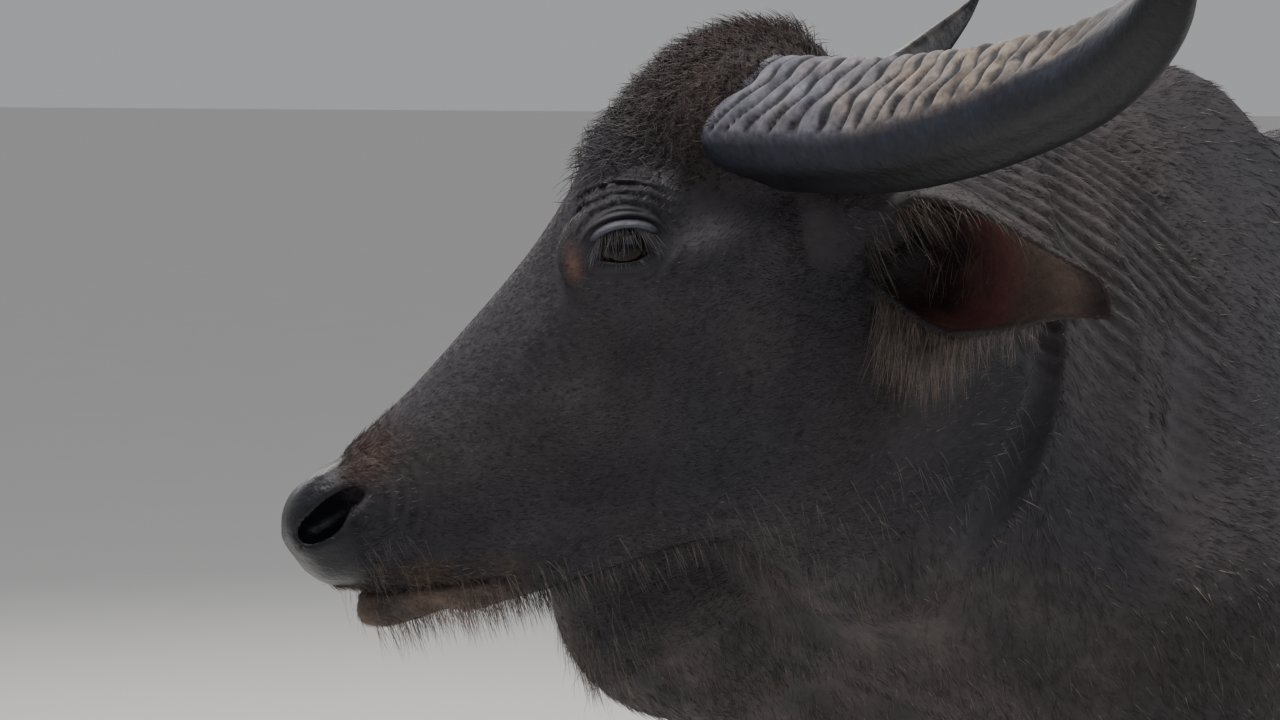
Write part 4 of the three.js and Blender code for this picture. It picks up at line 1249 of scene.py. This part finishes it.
def horn(name):
    """A horn with a ridged, dusty upper face, a raised edge and a smooth dark lower face, with
    painted shade in the grooves and a painted sheen below the edge.
    """
    side = SIDES[name]
    ahead, lift = HORN_SET[name]
    rows, around = int(HORN_ROWS / COARSE), 76
    path = HORN[:, :3].copy()
    out = np.clip(path[:, 1] - 90, 0, 460) / 460
    path[:, 0] += ahead * np.sin(math.pi * np.minimum(out, 0.5)) * (1 - 0.9 * out**20)
    path[:, 2] += lift * out**2
    path[:, 1] *= side
    t = np.linspace(0, 1, rows) ** 0.97
    center = along_curve(path, t)
    along = unit(np.gradient(center, axis=0))
    width, thick = along_curve(HORN[:, 3:], t).T
    front = unit(np.cross(along, [0, 0, side]))
    up = np.cross(front, along) * side
    run = np.concatenate([[0], np.cumsum(np.linalg.norm(np.diff(center, axis=0), axis=1))])
    r = np.tile((run / run[-1])[:, None], (1, around))
    a = np.tile(circle(around), (rows, 1))
    above_edge = (a - horn_edge(r) + math.pi) % math.tau - math.pi
    top = smooth(-0.02, 0.07, above_edge) * (1 - smooth(2.1, 2.7, above_edge))
    lip = hump((above_edge + 0.03) / 0.08)
    fade = 1 - smooth(0.6, RIDGED_SHARE, r)
    slant = mix(40, 14, smooth(0, 0.5, r)) / HORN_LENGTH
    slant = slant * np.sin(np.clip(above_edge, 0, math.pi / 2))
    phase = RIDGES * (r - slant) * (1.15 - 0.2 * r) + 0.13 * np.sin(4 * a + 17 * r)
    phase = phase + 0.09 * np.sin(9 * a - 31 * r) + 0.2 * np.sin(13 * r)
    crest = np.abs(np.sin(math.pi * phase)) ** 0.8
    tall = 0.85 + 0.3 * np.sin(2.4 * np.floor(phase))
    swell = (5.4 * crest - 4.4) * tall * fade * top + 1.6 * lip * fade
    section = 1 + 0.13 * np.cos(3 * (a + 0.15))
    forward_part = (thick[:, None] / 2 * section + swell) * np.cos(a)
    upward_part = (width[:, None] / 2 * section + swell) * np.sin(a)
    points = center[:, None] + front[:, None] * forward_part[..., None]
    points = points + up[:, None] * upward_part[..., None]
    points = from_level(points.reshape(-1, 3))
    grids = (r, top, lip, fade, crest, above_edge)
    r, top, lip, fade, crest, above_edge = (grid.ravel() for grid in grids)
    grain = waves(points, 26, 21)
    dusty = clip01(smooth(0.12, 0.5, r) + 0.35 * waves(points, 90, 23))
    dust = layered(filled(HORN_LILAC, points), DUST, dusty)
    # Painted sheen: a bluish slate band from just below the edge onto the upper face, fainter
    # towards the tip; on the upper face the dust mostly covers it
    low = smooth(-1.0, -0.05, above_edge) * (above_edge < 1.2)
    sheen_band = low * (1 - 0.6 * smooth(0.5, 0.9, r))
    tone = layered(filled(HORN_BLACK, points), HORN_SHEEN_SLATE, sheen_band)
    worn = top * fade * clip01(0.92 + 0.25 * grain)
    tone = layered(tone, dust, np.maximum(worn, 0.4 * lip * fade))
    # Painted shade: the grooves between the ridges are darkened; the pits are marks of the horn
    # itself
    groove_shade = top * fade * (1 - smooth(0.3, 0.85, crest + 0.2 * grain))
    pits = smooth(0.35, 0.8, waves(points, 17, 27, 2)) * smooth(0.35, 0.6, r) * top * fade
    tone = layered(tone, HORN_BLACK * 2.5, np.clip(0.95 * groove_shade + 0.8 * pits, 0, 0.94))
    tone = tone * (1 + 0.22 * np.clip(waves(points, 7, 29, 2), -1, 1))[:, None]
    rough_end = smooth(0.55, 0.75, r) * top
    tone = layered(tone, dust * 0.45, 0.35 * rough_end * clip01(0.5 + grain))
    wet = np.clip(1 - top * fade - 0.5 * low, 0.12, 1)
    points = np.vstack([points, points[-around:].mean(0)])
    tone = np.vstack([tone, tone[-1]])
    j = np.arange(around)
    last = (rows - 1) * around
    cap = np.stack([last + j, last + (j + 1) % around, np.full(around, rows * around)], 1)
    faces = outward(points, [ring_faces(rows, around), cap])
    node = f"horn_{name}"
    wet = np.append(wet, 1.0)
    make_piece(f"ridged_{node}", "horn", horn_finish, points, faces, tone, wet, replaces=[node])


for name in SIDES:
    horn(name)


# Hooves

HOOF = np.array([0.030, 0.026, 0.024])
HOOF_WET = 0.3
CLAW_APART = 29.5


def claw(leg_name, which):
    """One claw of a hoof, with growth rings, flat on the ground."""
    coronet = legs[leg_name]["coronet"]
    inner = math.copysign(1, coronet[1]) * (1 if which == "outer" else -1)
    around, rows = 64, 40
    c, s = np.cos(circle(around)), np.sin(circle(around))
    bulge = np.where(s * inner > 0, 1.06, 0.9)
    back = profile([(0, 62), (0.07, 64), (0.5, 60), (1, 54)])
    front = profile([(0, 78), (0.07, 80), (0.5, 60), (1, 46)])
    half = profile([(0, 27), (0.07, 28), (0.5, 27.5), (1, 25.5)])
    points = []
    for row in range(rows):
        v = row / (rows - 1)
        ring = 0.7 * math.sin(v * math.tau * 6.5) * smooth(0.05, 0.15, v)
        x = np.where(c > 0, front(v), back(v)) * np.sign(c) * np.abs(c) ** 0.85
        y = half(v) * bulge * np.sign(s) * np.abs(s) ** 0.8
        grow = 1 + ring / np.maximum(np.hypot(x, y), 10)
        top = coronet[2] - 0.3 + x * CORONET_SLOPE
        x, y = coronet[0] + x * grow, coronet[1] + CLAW_APART * inner + y * grow
        points.append(np.stack([x, y, v * top], 1))
    points = np.vstack([*points, points[0].mean(0), points[-1].mean(0)])
    j = np.arange(around)
    k = (j + 1) % around
    last = (rows - 1) * around
    sole = np.stack([k, j, np.full(around, rows * around)], 1)
    upper = np.stack([last + j, last + k, np.full(around, rows * around + 1)], 1)
    faces = outward(points, [ring_faces(rows, around), np.vstack([sole, upper])])
    tone = filled(HOOF, points)
    tone = layered(tone, DUST * 0.6, 0.35 * smooth(60, 0, points[:, 2]))
    wet = np.full(len(points), HOOF_WET)
    name = f"{leg_name}_{which}"
    node = f"hoof_{name}"
    make_piece(f"claw_{name}", "hoof", horn_finish, points, faces, tone, wet, replaces=[node])


def dewclaws(leg_name):
    """The two small claws behind a fetlock."""
    fetlock = legs[leg_name]["fetlock"]
    rows, around = 14, 24
    points, faces = [], []
    for sign in (1, -1):
        root = fetlock + [-28, 20 * sign, -4]
        path = np.array([root, root + [-18, 3 * sign, -16], root + [-24, 4 * sign, -32]])
        t = np.linspace(0, 1, rows)
        center = along_curve(path, t)
        along = unit(np.gradient(center, axis=0))
        across = unit(np.cross(along, [0, 1, 0]))
        up = np.cross(along, across)
        radius = np.sqrt(np.clip(1 - t**3, 0.0004, 1)) * 14
        c, s = np.cos(circle(around))[:, None], np.sin(circle(around))[:, None]
        ring = across[:, None] * c + up[:, None] * s
        start = sum(len(p) for p in points)
        points.append((center[:, None] + ring * radius[:, None, None]).reshape(-1, 3))
        faces.append(ring_faces(rows, around) + start)
    points = np.vstack(points)
    tone = filled(HOOF, points)
    wet = np.full(len(points), HOOF_WET)
    faces = np.vstack(faces)
    make_piece(f"dewclaws_{leg_name}", "hoof", horn_finish, points, faces, tone, wet)


for leg_name in legs:
    for which in ("outer", "inner"):
        claw(leg_name, which)
    dewclaws(leg_name)


# The coat: tufts of solid mesh rooted on the skin

COAT_SEED = 40
rng = np.random.default_rng(COAT_SEED)
triangles = np.vstack([skin_quads[:, [0, 1, 2]], skin_quads[:, [0, 2, 3]]])
corner_a, corner_b, corner_c = (skin_points[triangles[:, n]] for n in range(3))
triangle_area = 0.5 * np.linalg.norm(np.cross(corner_b - corner_a, corner_c - corner_a), axis=1)
triangle_middle = (corner_a + corner_b + corner_c) / 3


def scatter(count, density):
    """Roots spread over the skin: density is a weight for each of its triangles."""
    weight = triangle_area * density
    count = int(count / COARSE**2)
    chosen = rng.choice(len(triangles), count, p=weight / weight.sum())
    u, v = rng.random((2, count))
    over = u + v > 1
    u[over], v[over] = 1 - u[over], 1 - v[over]
    w = 1 - u - v
    corners = triangles[chosen]
    shares = (w, u, v)
    roots = sum(skin_points[corners[:, n]] * shares[n][:, None] for n in range(3))
    normals = unit(sum(skin_normals[corners[:, n]] * shares[n][:, None] for n in range(3)))
    return roots, normals


# How far a tuft's own vertices lie apart on its unwrap
UV_SPREAD = 0.0015


def unwrap(points, normals):
    """A place for each root on an unwrap of the skin: a tile for each region and facing."""
    x, y, z = points.T
    level = to_level(points)
    near_head = (np.linalg.norm(points - HEAD_ORIGIN, axis=1) < 330) & (x > 700)
    region = np.where(z < 600, np.where(x > 0, 1, 2) + 2 * (y < 0), 0)
    region = np.where(near_head, np.where(np.abs(level[:, 1]) > 118, 6, 5), region)
    region = np.where((x < -790) & (region != 5), 7, region)
    axis = np.argmax(np.abs(normals), axis=1)
    sign = np.take_along_axis(normals, axis[:, None], 1)[:, 0] < 0
    tile = region * 6 + axis * 2 + sign
    columns = 7
    size = 1 / columns
    box_low, box_high = points.min(0), points.max(0)
    place = (points - box_low) / (box_high - box_low)
    uv = np.empty((len(points), 2))
    for n, (p, q) in enumerate(((1, 2), (0, 2), (0, 1))):
        here = axis == n
        uv[here] = place[here][:, [p, q]]
    for number in np.unique(tile):
        here = tile == number
        low, high = uv[here].min(0), uv[here].max(0)
        uv[here] = (uv[here] - low) / np.maximum(high - low, 1e-6)
    corner = np.stack([tile % columns, tile // columns], 1)
    return (corner + 0.04 + 0.92 * uv) * size


def tufts(name, roots, normals, lie, length, width, rise, tone, segments=1, curl=0.0, long=False):
    """A piece of tufts: each a thin tapered spike that lies along the coat and bends as it goes.

    length, width and rise have a value for each tuft; curl is how much the tufts droop.
    """
    count = len(roots)
    lie = unit(lie - normals * (lie * normals).sum(1, keepdims=True))
    across = np.cross(normals, lie)
    wobble = np.clip(rng.normal(size=(count, 1)), -2, 2) * (0.07 if long else 0.16)
    angles = math.tau * np.arange(3) / 3
    rows = []
    for row in range(segments + 1):
        t = row / segments
        forward_part = lie * (length * t)[:, None]
        lift = normals * (length * rise * (t - 0.45 * t * t))[:, None]
        bend = across * (wobble * (length * t * t)[:, None])
        droop = np.array([0, 0, -1.0]) * (length * curl * t * t)[:, None]
        center = roots - normals * (0.6 * (1 - t)) + forward_part + lift + bend + droop
        if row == segments:
            rows.append(center[:, None])
            continue
        size = (width / 2 * (1 - t) ** 0.5)[:, None]
        ring = []
        for a in angles:
            ring.append(center + across * size * math.cos(a) + normals * size * 0.7 * math.sin(a))
        rows.append(np.stack(ring, 1))
    points = np.concatenate(rows, 1)
    per = points.shape[1]
    local = []
    for row in range(segments - 1):
        for j in range(3):
            k = (j + 1) % 3
            a, b = row * 3 + j, row * 3 + k
            local += [(a, b, b + 3), (a, b + 3, a + 3)]
    last = (segments - 1) * 3
    for j in range(3):
        local.append((last + j, last + (j + 1) % 3, per - 1))
    local.append((2, 1, 0))
    faces = (np.array(local)[None] + (np.arange(count) * per)[:, None, None]).reshape(-1, 3)
    place = unwrap(roots, normals)
    turn = 2.4 * np.arange(per)
    spread = UV_SPREAD * np.stack([np.cos(turn), np.sin(turn)], 1)
    uv = (place[:, None] + spread[None]).reshape(-1, 2)
    finish_used = long_hair if long else coat
    points = points.reshape(-1, 3)
    make_piece(name, "hide", finish_used, points, faces, np.repeat(tone, per, 0), uv=uv)


def lie_of_coat(points):
    """The way the hair lies: back over the body, down the legs, and back over the face."""
    x, y, z = points.T
    body = np.stack([np.full(len(x), -1.0), np.zeros(len(x)), -0.45 + 0 * x], 1)
    leg = smooth(640, 520, z)[:, None]
    lie = mix(body, np.array([-0.12, 0, -1.0]), leg)
    neck_share = (smooth(560, 700, x) * smooth(800, 900, z))[:, None]
    lie = mix(lie, np.array([-0.75, 0.25, -0.85]), neck_share)
    face = to_face(points)
    s, _, t = face.T
    on_head = (np.all(np.abs(face) < [300, 150, 200], axis=1) & (s > -225)).astype(float)[:, None]
    back = -FACE_AXES[0] - 0.35 * FACE_AXES[2]
    over_poll = FACE_AXES[2] * 0.8 - 0.6 * FACE_AXES[0]
    head_lie = mix(back, over_poll, smooth(-40, -110, s)[:, None] * smooth(40, 90, t)[:, None])
    muzzle_lie = -FACE_AXES[0] * 0.6 - FACE_AXES[2]
    head_lie = mix(head_lie, muzzle_lie, (smooth(150, 220, s) * smooth(20, -30, t))[:, None])
    lie = mix(lie, head_lie, on_head)
    lie = lie + 0.28 * np.stack([waves(points, 130, 31 + n, 2) for n in range(3)], 1)
    level = to_level(points)
    on, _, _ = ear_mark(points)
    for ear in ears.values():
        near = (on > 0.3) & ear.near(level)
        lie[near] = ear.axis @ LEVEL_AXES
    return lie + 0.16 * rng.normal(size=lie.shape)


def coat_tone(roots, pale_share, pale=1.0):
    """The marking under each root, with a share of hairs bleached pale."""
    tone, _ = marking(roots)
    tone = tone * (1.15 + 0.5 * rng.random((len(roots), 1)))
    bleached = (rng.random(len(roots)) < pale_share)[:, None]
    return np.where(bleached, tone * 0.4 + np.array([0.20, 0.165, 0.14]) * pale, tone)


face_middle = to_face(triangle_middle)
level_middle = to_level(triangle_middle)
ear_on, ear_inner, ear_along = ear_mark(triangle_middle)
in_head = np.all(np.abs(face_middle) < [300, 160, 200], axis=1) & (face_middle[:, 0] > -225)
pad_wet = marking(triangle_middle)[1]
bare = pad_wet > 0.3
brow_clear = np.ones(len(triangles))
for side in SIDES.values():
    ahead_of_eye, up_of_eye = eye_place(face_middle, side)
    same_side = face_middle[:, 1] * side > 40
    bare |= (np.hypot(ahead_of_eye / 36, up_of_eye / 27) < 1) & same_side
    round_eye = np.hypot(ahead_of_eye / 1.25, up_of_eye - 3)
    brow_clear *= 1 - same_side * (1 - smooth(42, 60, round_eye))


def lay_coat(name, count, density, length, width, rise, pale_share, pieces=1):
    """Scatters one kind of tuft over the skin, in as many pieces as keep each one light."""
    for number in range(pieces):
        roots, normals = scatter(count / pieces, density)
        lie = lie_of_coat(roots)
        size = rng.uniform(0.65, 1.25, len(roots))
        tone = coat_tone(roots, pale_share)
        label = f"{name}_{number + 1}" if pieces > 1 else name
        wide = width * rng.uniform(0.8, 1.2, len(roots))
        lift = np.full(len(roots), rise)
        tufts(label, roots, normals, lie, length * size, wide, lift, tone)


head_share = in_head * smooth(-232, -120, face_middle[:, 0])
HEIGHT = triangle_middle[:, 2]
in_front = smooth(380, 560, triangle_middle[:, 0])
lay_coat("coat_head", 105_000, in_head * ~bare * (ear_on < 0.3), 7.5, 0.55, 0.15, 0.08, pieces=3)
neck_weight = (1 - head_share) * (ear_on < 0.3) * in_front * smooth(520, 640, HEIGHT)
lay_coat("coat_neck", 52_000, neck_weight, 14.0, 0.95, 0.12, 0.07, pieces=2)
body_weight = ~in_head * (ear_on < 0.3) * (1.05 - in_front)
lay_coat("coat_body", 45_000, body_weight, 23.0, 1.7, 0.10, 0.08, pieces=2)
ear_weight = (ear_on > 0.3) * (1 - 0.7 * ear_inner) * (1 + 1.6 * (ear_along < 0.3))
lay_coat("coat_ears", 15_000, ear_weight, 6.5, 0.5, 0.2, 0.10)

# Long hair: the poll, the chin and throat, the ear's edges, the lashes and the tail's switch


def brush(name, roots, normals, lie, length, width, rise, tone, segments=5, curl=0.0, free=False):
    """Long hair; free hair keeps the way it is given instead of lying along the skin."""
    if free:
        lie = unit(lie)
        normals = unit(normals - lie * (normals * lie).sum(1, keepdims=True))
    return tufts(name, roots, normals, lie, length, width, rise, tone, segments, curl, True)


def poll_hair():
    s, across, t = face_middle.T
    density = in_head * smooth(-15, -60, s) * smooth(70, 112, t) * (np.abs(across) < 112)
    density = density * (1 - 0.8 * smooth(70, 30, -s)) * brow_clear
    roots, normals = scatter(6800, density)
    across = np.abs(to_face(roots)[:, 1])
    lie = LEVEL_AXES[0] * 0.5 + rng.normal(size=(len(roots), 3)) * 0.35
    length = rng.uniform(10, 23, len(roots)) * mix(1, 0.55, smooth(50, 85, across))
    rise = rng.uniform(0.5, 1.1, len(roots))
    tone = coat_tone(roots, 0.05, 0.5)
    brush("poll_hair", roots, normals, lie, length, np.full(len(roots), 0.9), rise, tone, 3)


def hairs(name, count, density, way, spread, lengths, tone_of, rises, *shape, free=True):
    """Hair scattered by a density, that lies one way with a spread.

    The lengths and the rises are ranges, and one number where all are alike. The shape is the
    width, the number of segments and the curl.
    """
    roots, normals = scatter(count, density)
    count = len(roots)
    lie = way + rng.normal(size=(count, 3)) * spread
    length = rng.uniform(*lengths, count)
    tone = tone_of(roots)
    rise = rng.uniform(*rises, count) if isinstance(rises, tuple) else np.full(count, rises)
    width, segments, curl = shape
    wide = np.full(count, width)
    brush(name, roots, normals, lie, length, wide, rise, tone, segments, curl, free)


def bleached(pale_share, pale):
    return lambda roots: coat_tone(roots, pale_share, pale)


def whisker_tone(roots):
    return np.tile([0.20, 0.16, 0.13], (len(roots), 1)) * rng.uniform(0.5, 1.1, (len(roots), 1))


def face_hair():
    """The chin's beard, the whiskers and the short soft hair over the nostrils and the lip."""
    s, _, t = face_middle.T
    down_back = -LEVEL_AXES[0] * 0.5 - UP * 0.8
    chin = in_head * smooth(90, 150, s) * smooth(-50, -72, t)
    chin = (chin + 0.25 * in_head * smooth(-40, -90, t)) * (skin_face_down > 0.2)
    beard = bleached(0.4, 0.8)
    hairs("chin_hair", 2200, chin, down_back, 0.22, (9, 26), beard, (0.1, 0.5), 0.5, 4, 0.3)
    lips = in_head * smooth(185, 215, s) * smooth(12, -8, t) * smooth(-60, -40, t) * (pad_wet < 0.2)
    hairs("whiskers", 150, lips, down_back, 0.3, (10, 26), whisker_tone, (0.2, 0.7), 0.34, 5, 0.35)
    over = hump((s - 200) / 24, (t - 49) / 15)
    lip = smooth(150, 200, s) * hump((mouth_place(face_middle)[0] - 8) / 9)
    soft = in_head * (over + 0.8 * lip) * (pad_wet < 0.4)
    way = -FACE_AXES[0] * 0.8 - UP * 0.3
    tone_of = bleached(0.16, 0.7)
    short = (0.2, 0.7), 0.42, 3, 0.1
    hairs("muzzle_hair", 3800, soft, way, 0.3, (5, 12), tone_of, *short, free=False)


def throat_hair():
    x, _, z = triangle_middle.T
    density = ~in_head * (ear_on < 0.2) * smooth(600, 760, x) * smooth(1050, 900, z)
    density = density * (skin_face_down > -0.15)
    way = np.array([-0.35, 0.1, -1.0])
    tone_of = bleached(0.2, 0.5)
    hairs("throat_hair", 3000, density, way, 0.2, (14, 28), tone_of, 0.16, 0.8, 3, 0, free=False)


FRINGE_TAN = np.array([0.235, 0.185, 0.160])
LASH_GREY = np.array([0.24, 0.23, 0.24])


def ear_fringe():
    """Long pale hairs along the edges of the ears and out of their cups."""
    level = level_middle
    for name, ear in ears.items():
        near = ear.near(level) & (ear_on > 0.3)
        t = np.zeros(len(level))
        around = np.zeros(len(level))
        off = np.zeros(len(level))
        t[near], around[near], off[near], _ = ear.places(level[near])
        edge = near * smooth(0.78, 0.95, np.abs(around)) * (1 - smooth(0.55, 0.75, t))
        edge = edge * np.where(around > 0, 0.35 + 2.2 * (1 - smooth(0.2, 0.42, t)), 0.25)
        cup = near * (off < -1) * (1 - smooth(0.2, 0.4, t)) * 0.12
        roots, normals = scatter(1150, edge + cup)
        axis = ear.axis @ LEVEL_AXES
        facing = ear.facing @ LEVEL_AXES
        place, here, _, _ = ear.places(to_level(roots))
        low_edge = (here > 0)[:, None]
        hanging = axis * 0.3 + facing * 0.3 - UP * 0.9
        lie = np.where(low_edge, hanging, axis * 0.9 + facing * 0.2 - UP * 0.3)
        lie = lie + rng.normal(size=(len(roots), 3)) * 0.16
        length = rng.uniform(12, 34, len(roots)) * mix(1.7, 0.8, smooth(0.2, 0.45, place))
        tone = filled(FRINGE_TAN, roots) * rng.uniform(0.3, 1.1, (len(roots), 1))
        rise = rng.uniform(0.05, 0.4, len(roots))
        wide = np.full(len(roots), 0.5)
        brush(f"ear_fringe_{name}", roots, normals, lie, length, wide, rise, tone, 5, 0.2, True)


def lashes():
    """Long lashes that hang from the upper lids over the eyes, and short lower ones."""
    roots, normals, lies, lengths = [], [], [], []
    for side in SIDES.values():
        ahead_axis, out_axis, up_axis = eye_axes(side)
        for upper, count in ((True, 90), (False, 24)):
            low, high = (0.12, 0.88) if upper else (1.15, 1.85)
            angle = math.pi * rng.uniform(low, high, count)
            ahead, up = lid_margin(angle)
            up = up + (1.2 if upper else -0.8)
            out = np.sqrt(np.maximum((EYE_RADIUS + 2.6) ** 2 - 0.86 * ahead**2 - up**2, 9))
            place = on_eye(side, ahead, up, out)
            drop = (-0.9 if upper else -0.5) * up_axis
            spread = ahead[:, None] / 22 * 0.45 * ahead_axis
            lie = drop + spread + out_axis * 0.35 + 0.12 * rng.normal(size=(count, 3))
            roots.append(from_face(place))
            lies.append(lie @ FACE_AXES)
            normals.append(np.tile(out_axis @ FACE_AXES, (count, 1)))
            lengths.append(rng.uniform(14, 25, count) if upper else rng.uniform(3, 6, count))
    roots, normals = np.vstack(roots), np.vstack(normals)
    lies, lengths = np.vstack(lies), np.concatenate(lengths)
    tone = filled(LASH_GREY, roots) * rng.uniform(0.2, 1.0, (len(roots), 1))
    rise = rng.uniform(0.1, 0.4, len(roots))
    brush("lashes", roots, normals, lies, lengths, np.full(len(roots), 0.32), rise, tone, 5)


def tail_switch():
    """The long hair at the end of the tail."""
    count = int(1600 / COARSE)
    start = rng.uniform(0.72, 1.0, count) ** 0.7
    center = along_curve(TAIL, start)
    angle = rng.uniform(0, math.tau, count)
    out = np.stack([np.cos(angle), np.sin(angle), np.zeros(count)], 1)
    roots = center + out * (tail_radius(start) * 0.9)[:, None]
    lie = np.tile([0, 0, -1.0], (count, 1)) + out * 0.05 + rng.normal(size=(count, 3)) * 0.05
    length = rng.uniform(90, 175, count)
    tone, _ = marking(roots)
    tone = tone * rng.uniform(0.5, 1.5, (count, 1))
    brush("tail_switch", roots, out, lie, length, np.full(count, 1.6), np.full(count, 0.1), tone, 5)


triangle_cross = np.cross(corner_b - corner_a, corner_c - corner_a)
skin_face_down = -triangle_cross[:, 2] / (2 * triangle_area + 1e-9)
poll_hair()
face_hair()
throat_hair()
ear_fringe()
lashes()
tail_switch()


# Stage, lights and camera


FLOOR_HALF = 90.0
FLOOR_GREYS = ((0.70, 0.69, 0.675, 1), (0.74, 0.73, 0.715, 1))
# Each light: place, what it looks at, power, size and colour
LIGHTS = {
    "key": ((1.3, -0.9, 4.2), in_frame(HEAD_ORIGIN), 150, 1.8, (1.0, 0.97, 0.94)),
    "side": ((3.8, 3.0, 2.8), in_frame(HEAD_ORIGIN), 32, 2.6, (0.88, 0.93, 1.0)),
    "back": ((-3.0, -3.2, 3.6), (0, 0, 1.0), 120, 3.0, (1.0, 0.97, 0.93)),
    "fill": ((-2.6, 3.6, 2.8), (0, 0, 0.9), 90, 3.0, (0.95, 0.97, 1.0)),
}
SKY, SKY_STRENGTH = (0.90, 0.91, 0.93, 1), 0.42
CAMERA_AT = (3266.3, 1216.0, 1304.0)
CAMERA_PITCH = math.radians(-4.5)
LENS, SENSOR, VIEW_END = 105.0, 36.0, 200


def add_to_scene(name, data):
    item = bpy.data.objects.new(name, data)
    bpy.context.scene.collection.objects.link(item)
    return item


def aim(item, at, direction):
    item.location = at
    item.rotation_euler = Vector(direction).to_track_quat("-Z", "Y").to_euler()


def stage_floor():
    material, tree, shader = node_material("Floor")
    values = {6: FLOOR_GREYS[0], 7: FLOOR_GREYS[1]}
    links = {0: noise_node(tree, 3, 4)}
    shade = add_node(tree, "ShaderNodeMix", values, links, data_type="RGBA")
    tree.links.new(shade.outputs[2], shader.inputs["Base Color"])
    shader.inputs["Roughness"].default_value = 0.8
    mesh = bpy.data.meshes.new("floor")
    h = FLOOR_HALF
    mesh.from_pydata([(-h, -h, 0), (h, -h, 0), (h, h, 0), (-h, h, 0)], [], [(0, 1, 2, 3)])
    mesh.materials.append(material)
    add_to_scene("floor", mesh)


def lights():
    for name, (at, towards, power, size, color) in LIGHTS.items():
        data = bpy.data.lights.new(name, "AREA")
        data.energy, data.size, data.color = power, size, color
        light = add_to_scene(name, data)
        light.location = at
        aim(light, at, Vector(towards) - light.location)
    world = bpy.data.worlds.new("Studio")
    bpy.context.scene.world = world
    world.use_nodes = True
    sky = world.node_tree.nodes["Background"]
    sky.inputs["Color"].default_value = SKY
    sky.inputs["Strength"].default_value = SKY_STRENGTH


def camera():
    data = bpy.data.cameras.new("camera")
    data.lens, data.sensor_width = LENS, SENSOR
    data.clip_end = VIEW_END
    viewer = add_to_scene("camera", data)
    look = -leftward * math.cos(CAMERA_PITCH) + UP * math.sin(CAMERA_PITCH)
    aim(viewer, in_frame(CAMERA_AT), look)
    bpy.context.scene.camera = viewer


stage_floor()
lights()
camera()

bpy.context.view_layer.update()
